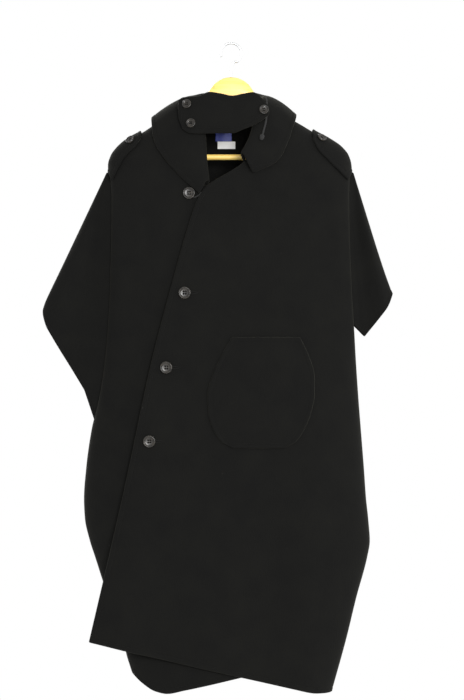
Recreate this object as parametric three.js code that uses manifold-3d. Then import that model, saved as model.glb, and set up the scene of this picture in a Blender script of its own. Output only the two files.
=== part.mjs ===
// A wool cloak with cape sleeves on a wooden hanger, in millimetres, +Z up.
// The wearer faces -Y, so the wearer's right is -X. The origin is the inside top of the hanger's hook.
import * as THREE from "three";
import { mergeVertices } from "three/addons/utils/BufferGeometryUtils.js";
import Module from "manifold-3d";

const wasm = await Module();
wasm.setup();

// Cloth and seams
const clothWall = 3; // heavy felted wool
const doubleWall = 4; // two layers sewn together, as in the collar, tab and shoulder straps
const labelWall = 1;
const seamGap = 0.3; // between neighbouring pieces
const sideSeam = 0.8; // half the gap between front and back along the shoulders and sides
const frontLap = 7; // how far the under front sits behind the over front
const sideSquareness = 3.4; // 2 is an ellipse, more is a flatter front and back
const overFrontReach = 400; // half-width of the over front's curve on the buttoned side

// How finely each piece is drawn
const panelColumns = { over: 22, under: 16, back: 24 };
const sleeveColumns = 18;
const collarStep = 2; // grid columns for each station
const standRows = 3;
const leafRows = 9;
const tabGrid = { rows: 6, columns: 18 };
const strapGrid = { rows: 12, columns: 14 };
const pocketGrid = { rows: 11, columns: 9 };
const labelGrid = { rows: 3, columns: 4 };
const buttonSides = 16;
const hangerSides = 14;
const barSides = 16;
const knotSides = 10;
const wireSides = 8;
const hookSteps = 44;
const cordSteps = 16;
const normalStep = 4; // between the points that give a surface's normal

// Buttons: four big ones down the front, small ones on the tab and shoulder straps
const frontButton = { radius: 11.7, height: 4.2 };
const smallButton = { radius: 9, height: 3.6 };

// Hanger
const hookWire = 2; // radius
const hookRadius = 20; // to the middle of the wire
const hangerTop = -63.5;
const barRadius = 5.5;
const barHeight = -217.5;
const barHalfLength = 172;

const black = { color: 0x1e1e1d, roughness: 0.95, metalness: 0 };
const materials = {
  wool: new THREE.MeshStandardMaterial(black),
  button: new THREE.MeshStandardMaterial({ color: 0x4a453e, roughness: 0.4, metalness: 0 }),
  cord: new THREE.MeshStandardMaterial({ color: 0x191918, roughness: 0.8, metalness: 0 }),
  blueLabel: new THREE.MeshStandardMaterial({ color: 0x24349a, roughness: 0.7, metalness: 0 }),
  whiteLabel: new THREE.MeshStandardMaterial({ color: 0xeeeeea, roughness: 0.8, metalness: 0 }),
  wood: new THREE.MeshStandardMaterial({ color: 0xe2b45c, roughness: 0.45, metalness: 0 }),
  steel: new THREE.MeshStandardMaterial({ color: 0xd4d6d8, roughness: 0.2, metalness: 1 }),
};

// Level sections of the body: where its two sides are, how deep its front and back stand,
// and how far each side edge stands from the middle plane, as at the armholes and side vents.
const bodySections = [
  { z: -127, rightSide: -92, leftSide: 81, front: 44, back: 46, rightOpen: 0, leftOpen: 0 },
  { z: -142, rightSide: -125, leftSide: 110, front: 47, back: 47, rightOpen: 0, leftOpen: 0 },
  { z: -155, rightSide: -147, leftSide: 134, front: 49, back: 48, rightOpen: 0, leftOpen: 0 },
  { z: -170, rightSide: -170, leftSide: 159, front: 51, back: 49, rightOpen: 0, leftOpen: 0 },
  { z: -185, rightSide: -197, leftSide: 187, front: 53, back: 50, rightOpen: 0, leftOpen: 0 },
  { z: -200, rightSide: -215, leftSide: 209, front: 54, back: 51, rightOpen: 0, leftOpen: 0 },
  { z: -216, rightSide: -227, leftSide: 222, front: 55, back: 52, rightOpen: 0, leftOpen: 0 },
  { z: -233, rightSide: -232, leftSide: 227, front: 56, back: 53, rightOpen: 0, leftOpen: 0 },
  { z: -250, rightSide: -232, leftSide: 228, front: 57, back: 54, rightOpen: 8, leftOpen: 8 },
  { z: -300, rightSide: -229, leftSide: 226, front: 60, back: 56, rightOpen: 22, leftOpen: 22 },
  { z: -468, rightSide: -232, leftSide: 231, front: 64, back: 60, rightOpen: 24, leftOpen: 24 },
  { z: -545, rightSide: -236, leftSide: 236, front: 66, back: 61, rightOpen: 24, leftOpen: 18 },
  { z: -620, rightSide: -243, leftSide: 241, front: 68, back: 62, rightOpen: 22, leftOpen: 3 },
  { z: -690, rightSide: -255, leftSide: 246, front: 69, back: 63, rightOpen: 16, leftOpen: 0 },
  { z: -741, rightSide: -268, leftSide: 250, front: 70, back: 64, rightOpen: 5, leftOpen: 0 },
  { z: -817, rightSide: -279, leftSide: 256, front: 72, back: 66, rightOpen: 0, leftOpen: 0 },
  { z: -874, rightSide: -283, leftSide: 260, front: 73, back: 67, rightOpen: 2, leftOpen: 0 },
  { z: -912, rightSide: -281, leftSide: 264, front: 74, back: 68, rightOpen: 6, leftOpen: 1 },
  { z: -955, rightSide: -271, leftSide: 267, front: 75, back: 68, rightOpen: 12, leftOpen: 5 },
  { z: -985, rightSide: -261, leftSide: 262, front: 76, back: 69, rightOpen: 15, leftOpen: 9 },
  { z: -1064, rightSide: -235, leftSide: 240, front: 77, back: 70, rightOpen: 24, leftOpen: 19 },
  { z: -1140, rightSide: -210, leftSide: 221, front: 78, back: 71, rightOpen: 28, leftOpen: 26 },
  { z: -1250, rightSide: -174, leftSide: 190, front: 79, back: 72, rightOpen: 32, leftOpen: 32 },
];

// The over front's inner edge: down the neckline to its corner, then the slanting front edge
const overEdge = [
  { z: -127, x: 70 },
  { z: -160, x: 62 },
  { z: -190, x: 52 },
  { z: -215, x: 38 },
  { z: -232, x: 24 },
  { z: -285, x: -53 },
  { z: -366, x: -84 },
  { z: -437, x: -104 },
  { z: -613, x: -150 },
  { z: -848, x: -200 },
  { z: -1142, x: -268 },
];

// The under front's inner edge: down the neckline, then out of sight beneath the over front
const underEdge = [
  { z: -127, x: -82 },
  { z: -160, x: -74 },
  { z: -190, x: -66 },
  { z: -230, x: -58 },
  { z: -285, x: -48 },
  { z: -330, x: 10 },
  { z: -420, x: 36 },
  { z: -900, x: 84 },
  { z: -1190, x: 112 },
];

// Hems, as height against width
const overHem = [
  { x: -268, z: -1142 },
  { x: 130, z: -1231 },
  { x: 172, z: -1239 },
  { x: 192, z: -1240 },
];
const underHem = [
  { x: -205, z: -1166 },
  { x: -190, z: -1197 },
  { x: -170, z: -1223 },
  { x: -150, z: -1236 },
  { x: -128, z: -1240 },
  { x: -90, z: -1233 },
  { x: 112, z: -1188 },
];
const backHem = [
  { x: -206, z: -1120 },
  { x: -186, z: -1165 },
  { x: -150, z: -1190 },
  { x: -90, z: -1200 },
  { x: 90, z: -1200 },
  { x: 150, z: -1190 },
  { x: 186, z: -1165 },
  { x: 206, z: -1120 },
];

// The largest soft folds: where each crosses the shoulder and the hem, its half-width and its height
const frontFolds = [
  { topX: -150, hemX: -205, halfWidth: 42, height: 7, start: -420 },
  { topX: 40, hemX: -40, halfWidth: 60, height: 5, start: -620 },
  { topX: 165, hemX: 150, halfWidth: 46, height: 8, start: -520 },
];
const backFolds = [
  { topX: -130, hemX: -150, halfWidth: 44, height: 10, start: -380 },
  { topX: -20, hemX: -30, halfWidth: 50, height: 12, start: -420 },
  { topX: 105, hemX: 115, halfWidth: 46, height: 11, start: -360 },
];
const foldHem = -1200;
const hemLevels = { over: -1200, under: -1215, back: -1180 };

// Cape sleeves: the outer fold runs from the shoulder to the tip, the root from the shoulder
// to the bottom of the armhole. The hem joins tip and root, with a corner that drops or rises.
const rightSleeve = {
  side: -1,
  foldTop: { x: -240, z: -248 },
  tip: { x: -368, z: -519 },
  rootTop: -250,
  rootBottom: -728,
  bulge: 22,
  valley: 9,
  cornerAt: 0.8,
  cornerDrop: -22,
  tipRise: 4,
  tipRound: 6,
};
const leftSleeve = {
  side: 1,
  foldTop: { x: 236, z: -248 },
  tip: { x: 311, z: -492 },
  rootTop: -250,
  rootBottom: -535,
  bulge: 20,
  valley: 8,
  cornerAt: 0.68,
  cornerDrop: 40,
  tipRise: 12,
  tipRound: 0,
};

// The collar, from the wearer's right front round the back of the neck to the left front.
// The stand's seam runs down each front's neckline or round the back's neck; roll is the top of the
// stand, and the leaf's outer edge lies on the front or back at edgeX and edgeZ. Lift is how far the
// edge stands off the shoulder.
const collarStations = [
  { seam: "under", at: -281, roll: [-44, -58, -270], face: "front", edgeX: -60, edgeZ: -288 },
  { seam: "under", at: -250, roll: [-48, -57, -235], face: "front", edgeX: -88, edgeZ: -263 },
  { seam: "under", at: -205, roll: [-51, -53, -185], face: "front", edgeX: -122, edgeZ: -227 },
  { seam: "under", at: -165, roll: [-55, -43, -143], face: "front", edgeX: -141, edgeZ: -198 },
  { seam: "under", at: -139, roll: [-59, -32, -124], face: "front", edgeX: -147, edgeZ: -180 },
  { seam: "neck", at: -52, roll: [-64, -18, -114], face: "front", edgeX: -146, edgeZ: -165, lift: 8 },
  { seam: "neck", at: -88, roll: [-67, 0, -108], face: "front", edgeX: -144, edgeZ: -153, lift: 12 },
  { seam: "neck", at: -112, roll: [-63, 16, -102], face: "back", edgeX: -134, edgeZ: -165, lift: 8 },
  { seam: "neck", at: -132, roll: [-50, 28, -97], face: "back", edgeX: -112, edgeZ: -182 },
  { seam: "neck", at: -156, roll: [-30, 34, -98], face: "back", edgeX: -64, edgeZ: -200 },
  { seam: "neck", at: 180, roll: [-5, 37, -103], face: "back", edgeX: -10, edgeZ: -210 },
  { seam: "neck", at: 156, roll: [21, 34, -99], face: "back", edgeX: 46, edgeZ: -200 },
  { seam: "neck", at: 132, roll: [40, 28, -96], face: "back", edgeX: 92, edgeZ: -180 },
  { seam: "neck", at: 112, roll: [53, 16, -101], face: "back", edgeX: 112, edgeZ: -160, lift: 7 },
  { seam: "neck", at: 88, roll: [57, 0, -108], face: "front", edgeX: 120, edgeZ: -146.5, lift: 10 },
  { seam: "neck", at: 52, roll: [54, -18, -114], face: "front", edgeX: 117, edgeZ: -158, lift: 7 },
  { seam: "over", at: -139, roll: [50, -36, -124], face: "front", edgeX: 113, edgeZ: -173 },
  { seam: "over", at: -165, roll: [47, -48, -143], face: "front", edgeX: 106, edgeZ: -193 },
  { seam: "over", at: -200, roll: [38, -58, -185], face: "front", edgeX: 86, edgeZ: -228 },
  { seam: "over", at: -229, roll: [21, -64, -220], face: "front", edgeX: 42, edgeZ: -250 },
];

// The throat tab: its top edge with two low humps, its bottom edge, how far its top stands in front
// and how it leans
const tabSections = [
  { x: -100, top: -112, bottom: -148, y: -45, lean: 10.9 },
  { x: -92, top: -108, bottom: -167, y: -47, lean: 15.4 },
  { x: -78, top: -107, bottom: -175, y: -50, lean: 15.9 },
  { x: -62, top: -106, bottom: -176, y: -53.5, lean: 14 },
  { x: -42, top: -99, bottom: -176, y: -57.6, lean: 12 },
  { x: -20, top: -102, bottom: -176, y: -60, lean: 11 },
  { x: 2, top: -106.5, bottom: -176, y: -61.8, lean: 10 },
  { x: 22, top: -103, bottom: -169, y: -62.7, lean: 9 },
  { x: 42, top: -100, bottom: -161, y: -63, lean: 8 },
  { x: 55, top: -107, bottom: -154, y: -62, lean: 8 },
  { x: 63, top: -116, bottom: -149, y: -61, lean: 8 },
  { x: 71, top: -124, bottom: -142, y: -60, lean: 7 },
];

// The patch pocket on the over front, with slanting hand openings
const pocketSections = [
  { z: -566, from: 2, to: 130 },
  { z: -600, from: -17, to: 146 },
  { z: -640, from: -35, to: 157 },
  { z: -672, from: -43, to: 157 },
  { z: -705, from: -42, to: 151 },
  { z: -738, from: -33, to: 138 },
  { z: -762, from: -18, to: 122 },
  { z: -774, from: 4, to: 102 },
];

// The hanger's wooden arms: top line, height and thickness against the distance from its middle
const hangerSections = [
  { x: 0, top: hangerTop, height: 67, thickness: 24 },
  { x: 8, top: -64.2, height: 67, thickness: 24 },
  { x: 17, top: -66.6, height: 64, thickness: 24 },
  { x: 31, top: -75, height: 58, thickness: 24 },
  { x: 43, top: -90.5, height: 48, thickness: 23 },
  { x: 50, top: -108, height: 39, thickness: 22 },
  { x: 60, top: -125, height: 34, thickness: 22 },
  { x: 80, top: -139, height: 34, thickness: 22 },
  { x: 108, top: -148, height: 36, thickness: 24 },
  { x: 134, top: -159.6, height: 38, thickness: 27 },
  { x: 159, top: -174.2, height: 42, thickness: 30 },
  { x: 187, top: -190, height: 40, thickness: 34 },
  { x: 204, top: -205, height: 28, thickness: 32 },
];

// The drawcord's free end, down the front of the collar to its knot
const cordRadius = 1.75;
const cordRoute = [
  [66, -44, -108],
  [67.5, -48, -113],
  [68, -50, -120],
  [68.5, -55.2, -130],
  [68.2, -59, -138.5],
  [67.3, -61.6, -146],
  [66.3, -66, -154],
  [64.5, -69, -163],
  [62, -72.5, -172],
  [60, -74, -180],
];
const knot = { radius: 4.5, length: 11 };

// Interpolation through a table's named columns, smooth and without overshoot
function columnOf(rows, key, value) {
  const points = rows.map((row) => [row[key], row[value]]).sort((a, b) => a[0] - b[0]);
  const slope = points.slice(1).map((p, i) => (p[1] - points[i][1]) / (p[0] - points[i][0]));
  const tangent = points.map((_, i) => {
    const before = slope[i - 1] ?? slope[i];
    const after = slope[i] ?? slope[i - 1];
    return before * after <= 0 ? 0 : (2 * before * after) / (before + after);
  });
  return (at) => {
    const last = points.length - 1;
    if (at <= points[0][0]) return points[0][1];
    if (at >= points[last][0]) return points[last][1];
    const i = points.findIndex((p) => p[0] > at) - 1;
    const width = points[i + 1][0] - points[i][0];
    const u = (at - points[i][0]) / width;
    const ease = u * u * (3 - 2 * u);
    const leave = width * tangent[i] * u * (1 - u) ** 2;
    const arrive = width * tangent[i + 1] * u * u * (1 - u);
    return points[i][1] * (1 - ease) + points[i + 1][1] * ease + leave - arrive;
  };
}
const columnsOf = (rows, key, names) => Object.fromEntries(names.map((n) => [n, columnOf(rows, key, n)]));
const bodyColumns = ["rightSide", "leftSide", "front", "back", "rightOpen", "leftOpen"];
const body = columnsOf(bodySections, "z", bodyColumns);
const overEdgeX = columnOf(overEdge, "z", "x");
const underEdgeX = columnOf(underEdge, "z", "x");
const hemOver = columnOf(overHem, "x", "z");
const hemUnder = columnOf(underHem, "x", "z");
const hemBack = columnOf(backHem, "x", "z");

const mix = (a, b, t) => a + (b - a) * t;
const clamp01 = (t) => Math.min(1, Math.max(0, t));
const smooth = (t) => clamp01(t) ** 2 * (3 - 2 * clamp01(t));
const spread = (count) => Array.from({ length: count + 1 }, (_, i) => i / count);
const around = (sides) => spread(sides).slice(0, sides).map((s) => s * 2 * Math.PI);
const radians = Math.PI / 180;

// Height of the soft folds at a point of the front or back
function foldHeight(folds, x, z) {
  const each = folds.map((fold) => {
    const along = clamp01((fold.start - z) / (fold.start - foldHem));
    const middle = mix(fold.topX, fold.hemX, along);
    const across = (x - middle) / fold.halfWidth;
    return fold.height * smooth(along) * Math.exp(-across * across);
  });
  return each.reduce((sum, height) => sum + height, 0);
}

// Half-width of the body's curve on the side of the middle where x lies
function halfWidth(x, z, panel) {
  const middle = (body.rightSide(z) + body.leftSide(z)) / 2;
  const side = x < middle ? middle - body.rightSide(z) : body.leftSide(z) - middle;
  return { middle, half: panel === "over" && x < middle ? overFrontReach : side };
}

// The turn, in radians from straight ahead, at which a panel's curve reaches x
function turnAt(x, z, panel) {
  const { middle, half } = halfWidth(x, z, panel);
  const share = Math.min(1, Math.abs(x - middle) / half);
  return Math.sign(x - middle) * Math.asin(share ** (sideSquareness / 2));
}

// A point on the outer face of a panel: over front, under front or back
function panelPoint(panel, turn, z) {
  const { middle, half } = halfWidth(turn < 0 ? -1e4 : 1e4, z, panel);
  const share = Math.sign(turn) * Math.abs(Math.sin(turn)) ** (2 / sideSquareness);
  const x = middle + half * share;
  const open = mix(body.rightOpen(z), body.leftOpen(z), clamp01((share + 1) / 2));
  const depth = panel === "back" ? body.back(z) : body.front(z) - (panel === "under" ? frontLap : 0);
  const fullness = Math.cos(turn);
  const folds = foldHeight(panel === "back" ? backFolds : frontFolds, x, z) * fullness;
  const y = open + sideSeam + (depth - open) * fullness + folds;
  return new THREE.Vector3(x, panel === "back" ? y : -y, z);
}

const overPoint = (x, z) => panelPoint("over", turnAt(x, z, "over"), z);
const underPoint = (x, z) => panelPoint("under", turnAt(x, z, "under"), z);

// A point all round the body, for what lies across the shoulders: turn in degrees, 0 in front
function bodyPoint(degrees, z) {
  const turn = ((((degrees + 180) % 360) + 360) % 360) - 180;
  if (Math.abs(turn) <= 90) return panelPoint(turn < 0 ? "under" : "over", turn * radians, z);
  return panelPoint("back", Math.sign(turn) * (180 - Math.abs(turn)) * radians, z);
}

// Outward unit normals of a grid of points, by central differences
function gridNormals(grid) {
  const rows = grid.length;
  const columns = grid[0].length;
  return grid.map((row, i) =>
    row.map((_, j) => {
      const along = grid[Math.min(i + 1, rows - 1)][j].clone().sub(grid[Math.max(i - 1, 0)][j]);
      const across = grid[i][Math.min(j + 1, columns - 1)].clone().sub(grid[i][Math.max(j - 1, 0)]);
      return along.cross(across).normalize();
    }),
  );
}

// A mesh turned so that its faces look outwards
function geometryOf(points, faces) {
  let volume = 0;
  for (let i = 0; i < faces.length; i += 3) {
    const [a, b, c] = [points[faces[i]], points[faces[i + 1]], points[faces[i + 2]]];
    volume += a.dot(b.clone().cross(c));
  }
  const geometry = new THREE.BufferGeometry();
  const places = points.flatMap((p) => [p.x, p.y, p.z]);
  geometry.setAttribute("position", new THREE.Float32BufferAttribute(places, 3));
  geometry.setIndex(volume < 0 ? [...faces].reverse() : faces);
  geometry.computeVertexNormals();
  return geometry;
}

// A closed wall on a grid of points, between two distances along the grid's normals
function wall(grid, near, far) {
  const normals = gridNormals(grid);
  const rows = grid.length;
  const columns = grid[0].length;
  const layer = (distance) =>
    grid.flatMap((row, i) => row.map((p, j) => p.clone().addScaledVector(normals[i][j], distance)));
  const outer = (i, j) => i * columns + j;
  const inner = (i, j) => rows * columns + i * columns + j;
  const faces = [];
  const quad = (a, b, c, d) => faces.push(a, b, c, a, c, d);
  for (let i = 0; i + 1 < rows; i += 1) {
    for (let j = 0; j + 1 < columns; j += 1) {
      quad(outer(i, j), outer(i, j + 1), outer(i + 1, j + 1), outer(i + 1, j));
      quad(inner(i, j), inner(i + 1, j), inner(i + 1, j + 1), inner(i, j + 1));
    }
    quad(outer(i, 0), outer(i + 1, 0), inner(i + 1, 0), inner(i, 0));
    const last = columns - 1;
    quad(outer(i, last), inner(i, last), inner(i + 1, last), outer(i + 1, last));
  }
  for (let j = 0; j + 1 < columns; j += 1) {
    const last = rows - 1;
    quad(outer(0, j), inner(0, j), inner(0, j + 1), outer(0, j + 1));
    quad(outer(last, j), outer(last, j + 1), inner(last, j + 1), inner(last, j));
  }
  return geometryOf([...layer(far), ...layer(near)], faces);
}

// A solid through closed rings of points, with a flat fan at each end
function loft(rings) {
  const sides = rings[0].length;
  const faces = [];
  for (let i = 0; i + 1 < rings.length; i += 1) {
    for (let j = 0; j < sides; j += 1) {
      const k = (j + 1) % sides;
      faces.push(i * sides + j, i * sides + k, (i + 1) * sides + k);
      faces.push(i * sides + j, (i + 1) * sides + k, (i + 1) * sides + j);
    }
  }
  const last = (rings.length - 1) * sides;
  for (let j = 1; j + 1 < sides; j += 1) {
    faces.push(0, j + 1, j, last, last + j, last + j + 1);
  }
  return geometryOf(rings.flat(), faces);
}

// Boolean cut of one geometry by another
function solidOf(geometry) {
  const bare = geometry.clone();
  bare.deleteAttribute("normal");
  bare.deleteAttribute("uv");
  const merged = mergeVertices(bare, 1e-3);
  const vertProperties = new Float32Array(merged.attributes.position.array);
  const triVerts = new Uint32Array(merged.index.array);
  return new wasm.Manifold(new wasm.Mesh({ numProp: 3, vertProperties, triVerts }));
}
function cut(geometry, tool) {
  const mesh = solidOf(geometry).subtract(solidOf(tool)).getMesh();
  const made = new THREE.BufferGeometry();
  made.setAttribute("position", new THREE.BufferAttribute(mesh.vertProperties, mesh.numProp));
  made.setIndex(new THREE.BufferAttribute(mesh.triVerts, 1));
  made.computeVertexNormals();
  return made;
}

// Body panels: level rows near the top that take the hem's slope further down
const upperLevels = [-127, -140, -153, -168, -184, -200, -216, -233, -250, -285, -330, -385];
const middleLevels = [-460, -545, -620, -695];
const lowerLevels = [-760, -830, -890, -945, -1000, -1060, -1125];
const slopeStart = -700;
const quarter = Math.PI / 2;

function panelGrid(panel, edges, hem) {
  const levels = [...upperLevels, ...middleLevels, ...lowerLevels, hem.level];
  return levels.map((level) => {
    const slope = smooth((slopeStart - level) / (slopeStart - hem.level));
    return spread(panelColumns[panel]).map((s) => {
      const hemX = panelPoint(panel, mix(...edges(hem.level), s), hem.level).x;
      const z = level + slope * (hem.height(hemX) - hem.level);
      return panelPoint(panel, mix(...edges(z), s), z);
    });
  });
}
function overFront() {
  const edges = (z) => [turnAt(overEdgeX(z), z, "over"), quarter];
  const hem = { level: hemLevels.over, height: hemOver };
  return wall(panelGrid("over", edges, hem), -clothWall, 0);
}
function underFront() {
  const edges = (z) => [-quarter, turnAt(underEdgeX(z), z, "under")];
  const hem = { level: hemLevels.under, height: hemUnder };
  return wall(panelGrid("under", edges, hem), -clothWall, 0);
}
function backPanel() {
  const edges = () => [quarter, -quarter];
  const hem = { level: hemLevels.back, height: hemBack };
  return wall(panelGrid("back", edges, hem), -clothWall, 0);
}

// A cape sleeve: front layer, outer fold and back layer in one sheet, open along its hem
const foldShare = 0.4; // part of each layer that rounds into the outer fold
const rootInset = clothWall + 1; // how far the root reaches inside the armhole's edge
const rootGap = 1.1;
const shoulderFull = 8; // half-thickness of the sleeve at the shoulder
const foldCrowding = 1.25; // how the columns crowd towards the outer fold
const tipShare = 0.16; // part of the hem that rises to the tip
const roundStart = 24; // the power that keeps the tip's rounding to the last part of the fold
const hemStart = 5; // the hem's slope sets in late, as this power of the way down
const lastRow = 10; // room above the hem's row
function sleeve(shape) {
  const rootX = shape.side < 0 ? body.rightSide : body.leftSide;
  const rootOpen = shape.side < 0 ? body.rightOpen : body.leftOpen;
  const within = (z) => z <= shape.rootTop && z > shape.rootBottom + lastRow;
  const levels = [...upperLevels, ...middleLevels].filter(within);
  const grid = [...levels, shape.rootBottom].map((rootZ) => {
    const t = (rootZ - shape.rootTop) / (shape.rootBottom - shape.rootTop);
    const foldX = mix(shape.foldTop.x, shape.tip.x, t);
    const foldZ = mix(shape.foldTop.z, shape.tip.z, t);
    return spread(sleeveColumns).map((u) => {
      const s = 2 * u - 1;
      const q = Math.abs(s);
      const across = 1 - Math.cos(q * quarter) ** foldCrowding;
      const before = across / shape.cornerAt;
      const after = (1 - across) / (1 - shape.cornerAt);
      const nearTip = (1 - clamp01(across / tipShare)) ** 2;
      const rise = shape.tipRise * nearTip;
      const roundIn = shape.side * shape.tipRound * t ** roundStart * nearTip;
      const hem = t ** hemStart * (rise - shape.cornerDrop * Math.min(before, after));
      const inner = clamp01((q - foldShare) / (1 - foldShare));
      const full = mix(shoulderFull, shape.bulge, smooth(t * 2));
      const outside = full * Math.sin(Math.min(1, q / foldShare) * quarter);
      const valley = shape.valley * smooth(t * 2) * Math.sin(inner * Math.PI) ** 2;
      const y = mix(outside, rootOpen(rootZ) + sideSeam - rootGap, smooth(inner)) - valley;
      const x = mix(foldX, rootX(rootZ) - shape.side * rootInset, across) - roundIn;
      return new THREE.Vector3(x, shape.side * Math.sign(s) * y, mix(foldZ, rootZ, across) + hem);
    });
  });
  return wall(grid, -clothWall, 0);
}

// Outward normal of the body, for pieces that lie on it
function bodyNormal(degrees, z) {
  const along = bodyPoint(degrees, z - 1).sub(bodyPoint(degrees, z + 1));
  const across = bodyPoint(degrees + 1, z).sub(bodyPoint(degrees - 1, z));
  return along.cross(across).normalize();
}
// The turn, in degrees, of a collar edge that is given by its width
function edgeDegrees(row) {
  const panel = row.face === "back" ? "back" : row.edgeX < 0 ? "under" : "over";
  const turn = turnAt(row.edgeX, row.edgeZ, panel) / radians;
  return row.face === "back" ? Math.sign(turn) * 180 - turn : turn;
}

// The collar's seam, roll and outer edge at each station
const neckGap = 1.7;
const seamStep = 2.3; // the stand starts this far past the panel's rim
const seams = {
  under: (z) => underPoint(underEdgeX(z), z).add(new THREE.Vector3(seamStep, 0, 0)),
  over: (z) => overPoint(overEdgeX(z), z).sub(new THREE.Vector3(seamStep, 0, 0)),
  neck: (degrees) => bodyPoint(degrees, bodySections[0].z).add(new THREE.Vector3(0, 0, neckGap)),
};
const collarEdgeLift = 2.9; // where a station gives no lift of its own
const edgeNormal = (row) => bodyNormal(edgeDegrees(row), row.edgeZ);
const edgePoint = (row) =>
  bodyPoint(edgeDegrees(row), row.edgeZ).addScaledVector(edgeNormal(row), row.lift ?? collarEdgeLift);
const alongCollar = (place) => new THREE.CatmullRomCurve3(collarStations.map(place));
const collarLines = {
  seam: alongCollar((row) => seams[row.seam](row.at)),
  roll: alongCollar((row) => new THREE.Vector3(...row.roll)),
  edge: alongCollar(edgePoint),
  lift: alongCollar(edgeNormal),
};
const collarColumns = spread((collarStations.length - 1) * collarStep);
function collarStand() {
  const rows = spread(standRows).map((t) =>
    collarColumns.map((u) => collarLines.seam.getPoint(u).lerp(collarLines.roll.getPoint(u), t)),
  );
  return wall(rows, -clothWall, 0);
}
const rollGap = 1.3; // between the stand's top and the leaf
const rollRise = 15; // how high the leaf springs from the stand before it turns over
const rollSpread = 7; // and how far it springs outwards
const leafEase = 13; // how far the leaf's fall stands off the body on its way down
const leafReach = 0.45;
function leafCurve(u) {
  const top = collarLines.roll.getPoint(u).add(new THREE.Vector3(0, 0, rollGap));
  const edge = collarLines.edge.getPoint(u);
  const lift = collarLines.lift.getPoint(u);
  const outward = new THREE.Vector3(lift.x, lift.y, 0).normalize();
  const spring = top.clone().add(new THREE.Vector3(0, 0, rollRise)).addScaledVector(outward, rollSpread);
  const ease = edge.clone().lerp(top, leafReach).addScaledVector(lift, leafEase);
  return new THREE.CubicBezierCurve3(top, spring, ease, edge);
}
function collarLeaf() {
  const curves = collarColumns.map(leafCurve);
  const rows = spread(leafRows).map((t) => curves.map((curve) => curve.getPoint(t)));
  return wall(rows, -doubleWall, 0);
}

// The throat tab, bowed a little over the collar's opening
const tabBow = 2;
const tabNormalStep = 0.1; // share of the tab's height
const tab = columnsOf(tabSections, "x", ["top", "bottom", "y", "lean"]);
const tabEnds = [tabSections[0].x, tabSections.at(-1).x];
function tabPoint(x, t) {
  const y = tab.y(x) - tab.lean(x) * t - 4 * tabBow * t * (1 - t);
  return new THREE.Vector3(x, y, mix(tab.top(x), tab.bottom(x), t));
}
function throatTab() {
  const rows = spread(tabGrid.rows).map((t) =>
    spread(tabGrid.columns).map((s) => tabPoint(mix(...tabEnds, s), t)),
  );
  return wall(rows, -doubleWall, 0);
}

// Shoulder straps, sewn in at the shoulder's tip and buttoned at the neck end. Each row crosses the
// shoulder's ridge at a height and runs down the front to the strap's lower edge, and a little way behind.
const strapLift = 1.5;
const strapBack = { x: 4, z: 8 }; // how far the strap reaches behind the ridge, inwards and down
const strapMiddle = -0.6; // column that stays in place where the neck end is rounded
const strapRound = { start: 0.15, length: 0.2 };
const straps = {
  right: {
    panel: "under",
    ridgeX: body.rightSide,
    edge: [
      { t: 0, ridge: -171, x: -173, z: -192 },
      { t: 0.5, ridge: -197, x: -204, z: -220 },
      { t: 1, ridge: -247.2, x: -226, z: -262 },
    ],
    button: { x: -190, z: -190, on: underPoint },
  },
  left: {
    panel: "over",
    ridgeX: body.leftSide,
    edge: [
      { t: 0, ridge: -168, x: 157, z: -198 },
      { t: 0.5, ridge: -197, x: 190, z: -230 },
      { t: 1, ridge: -247.2, x: 222, z: -262 },
    ],
    button: { x: 171, z: -187, on: overPoint },
  },
};
function strap(shape) {
  const edge = columnsOf(shape.edge, "t", ["ridge", "x", "z"]);
  const side = Math.sign(edge.x(0));
  const rows = spread(strapGrid.rows).map((t) => {
    const [ridgeZ, ridgeX] = [edge.ridge(t), shape.ridgeX(edge.ridge(t))];
    const round = 1 - Math.min(1, strapRound.start + t / strapRound.length);
    const width = Math.sqrt(1 - round ** 2);
    const column = (u) => strapMiddle + (side * (2 * u - 1) - strapMiddle) * width;
    const front = [edge.x(t), edge.z(t)];
    const behind = [ridgeX - side * strapBack.x, ridgeZ - strapBack.z];
    return spread(strapGrid.columns).map(column).map((s) => {
      const [endX, endZ] = s < 0 ? front : behind;
      const [x, z] = [mix(ridgeX, endX, s * s), mix(ridgeZ, endZ, s * s)];
      const panel = s < 0 ? shape.panel : "back";
      return panelPoint(panel, turnAt(x, z, panel), z);
    });
  });
  return wall(rows, strapLift, strapLift + doubleWall);
}

// The patch pocket, laid on the over front
const pocketLift = 0.9;
const pocket = columnsOf(pocketSections, "z", ["from", "to"]);
function patchPocket() {
  const ends = [pocketSections[0].z, pocketSections.at(-1).z];
  const rows = spread(pocketGrid.rows).map((t) => {
    const z = mix(...ends, t);
    return spread(pocketGrid.columns).map((s) => overPoint(mix(pocket.from(z), pocket.to(z), s), z));
  });
  return wall(rows, pocketLift, pocketLift + clothWall);
}

// Labels inside the back of the neck
const labels = {
  neck: { from: -30, to: 1, top: -162, bottom: -182.6 },
  size: { from: -26, to: 8, top: -183.2, bottom: -197 },
};
const labelGap = 0.6;
const labelLift = -clothWall - labelGap;
function label(shape) {
  const rows = spread(labelGrid.rows).map((t) => {
    const z = mix(shape.top, shape.bottom, t);
    return spread(labelGrid.columns).map((s) => {
      const x = mix(shape.to, shape.from, s);
      return panelPoint("back", turnAt(x, z, "back"), z);
    });
  });
  return wall(rows, labelLift - labelWall, labelLift);
}

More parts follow.
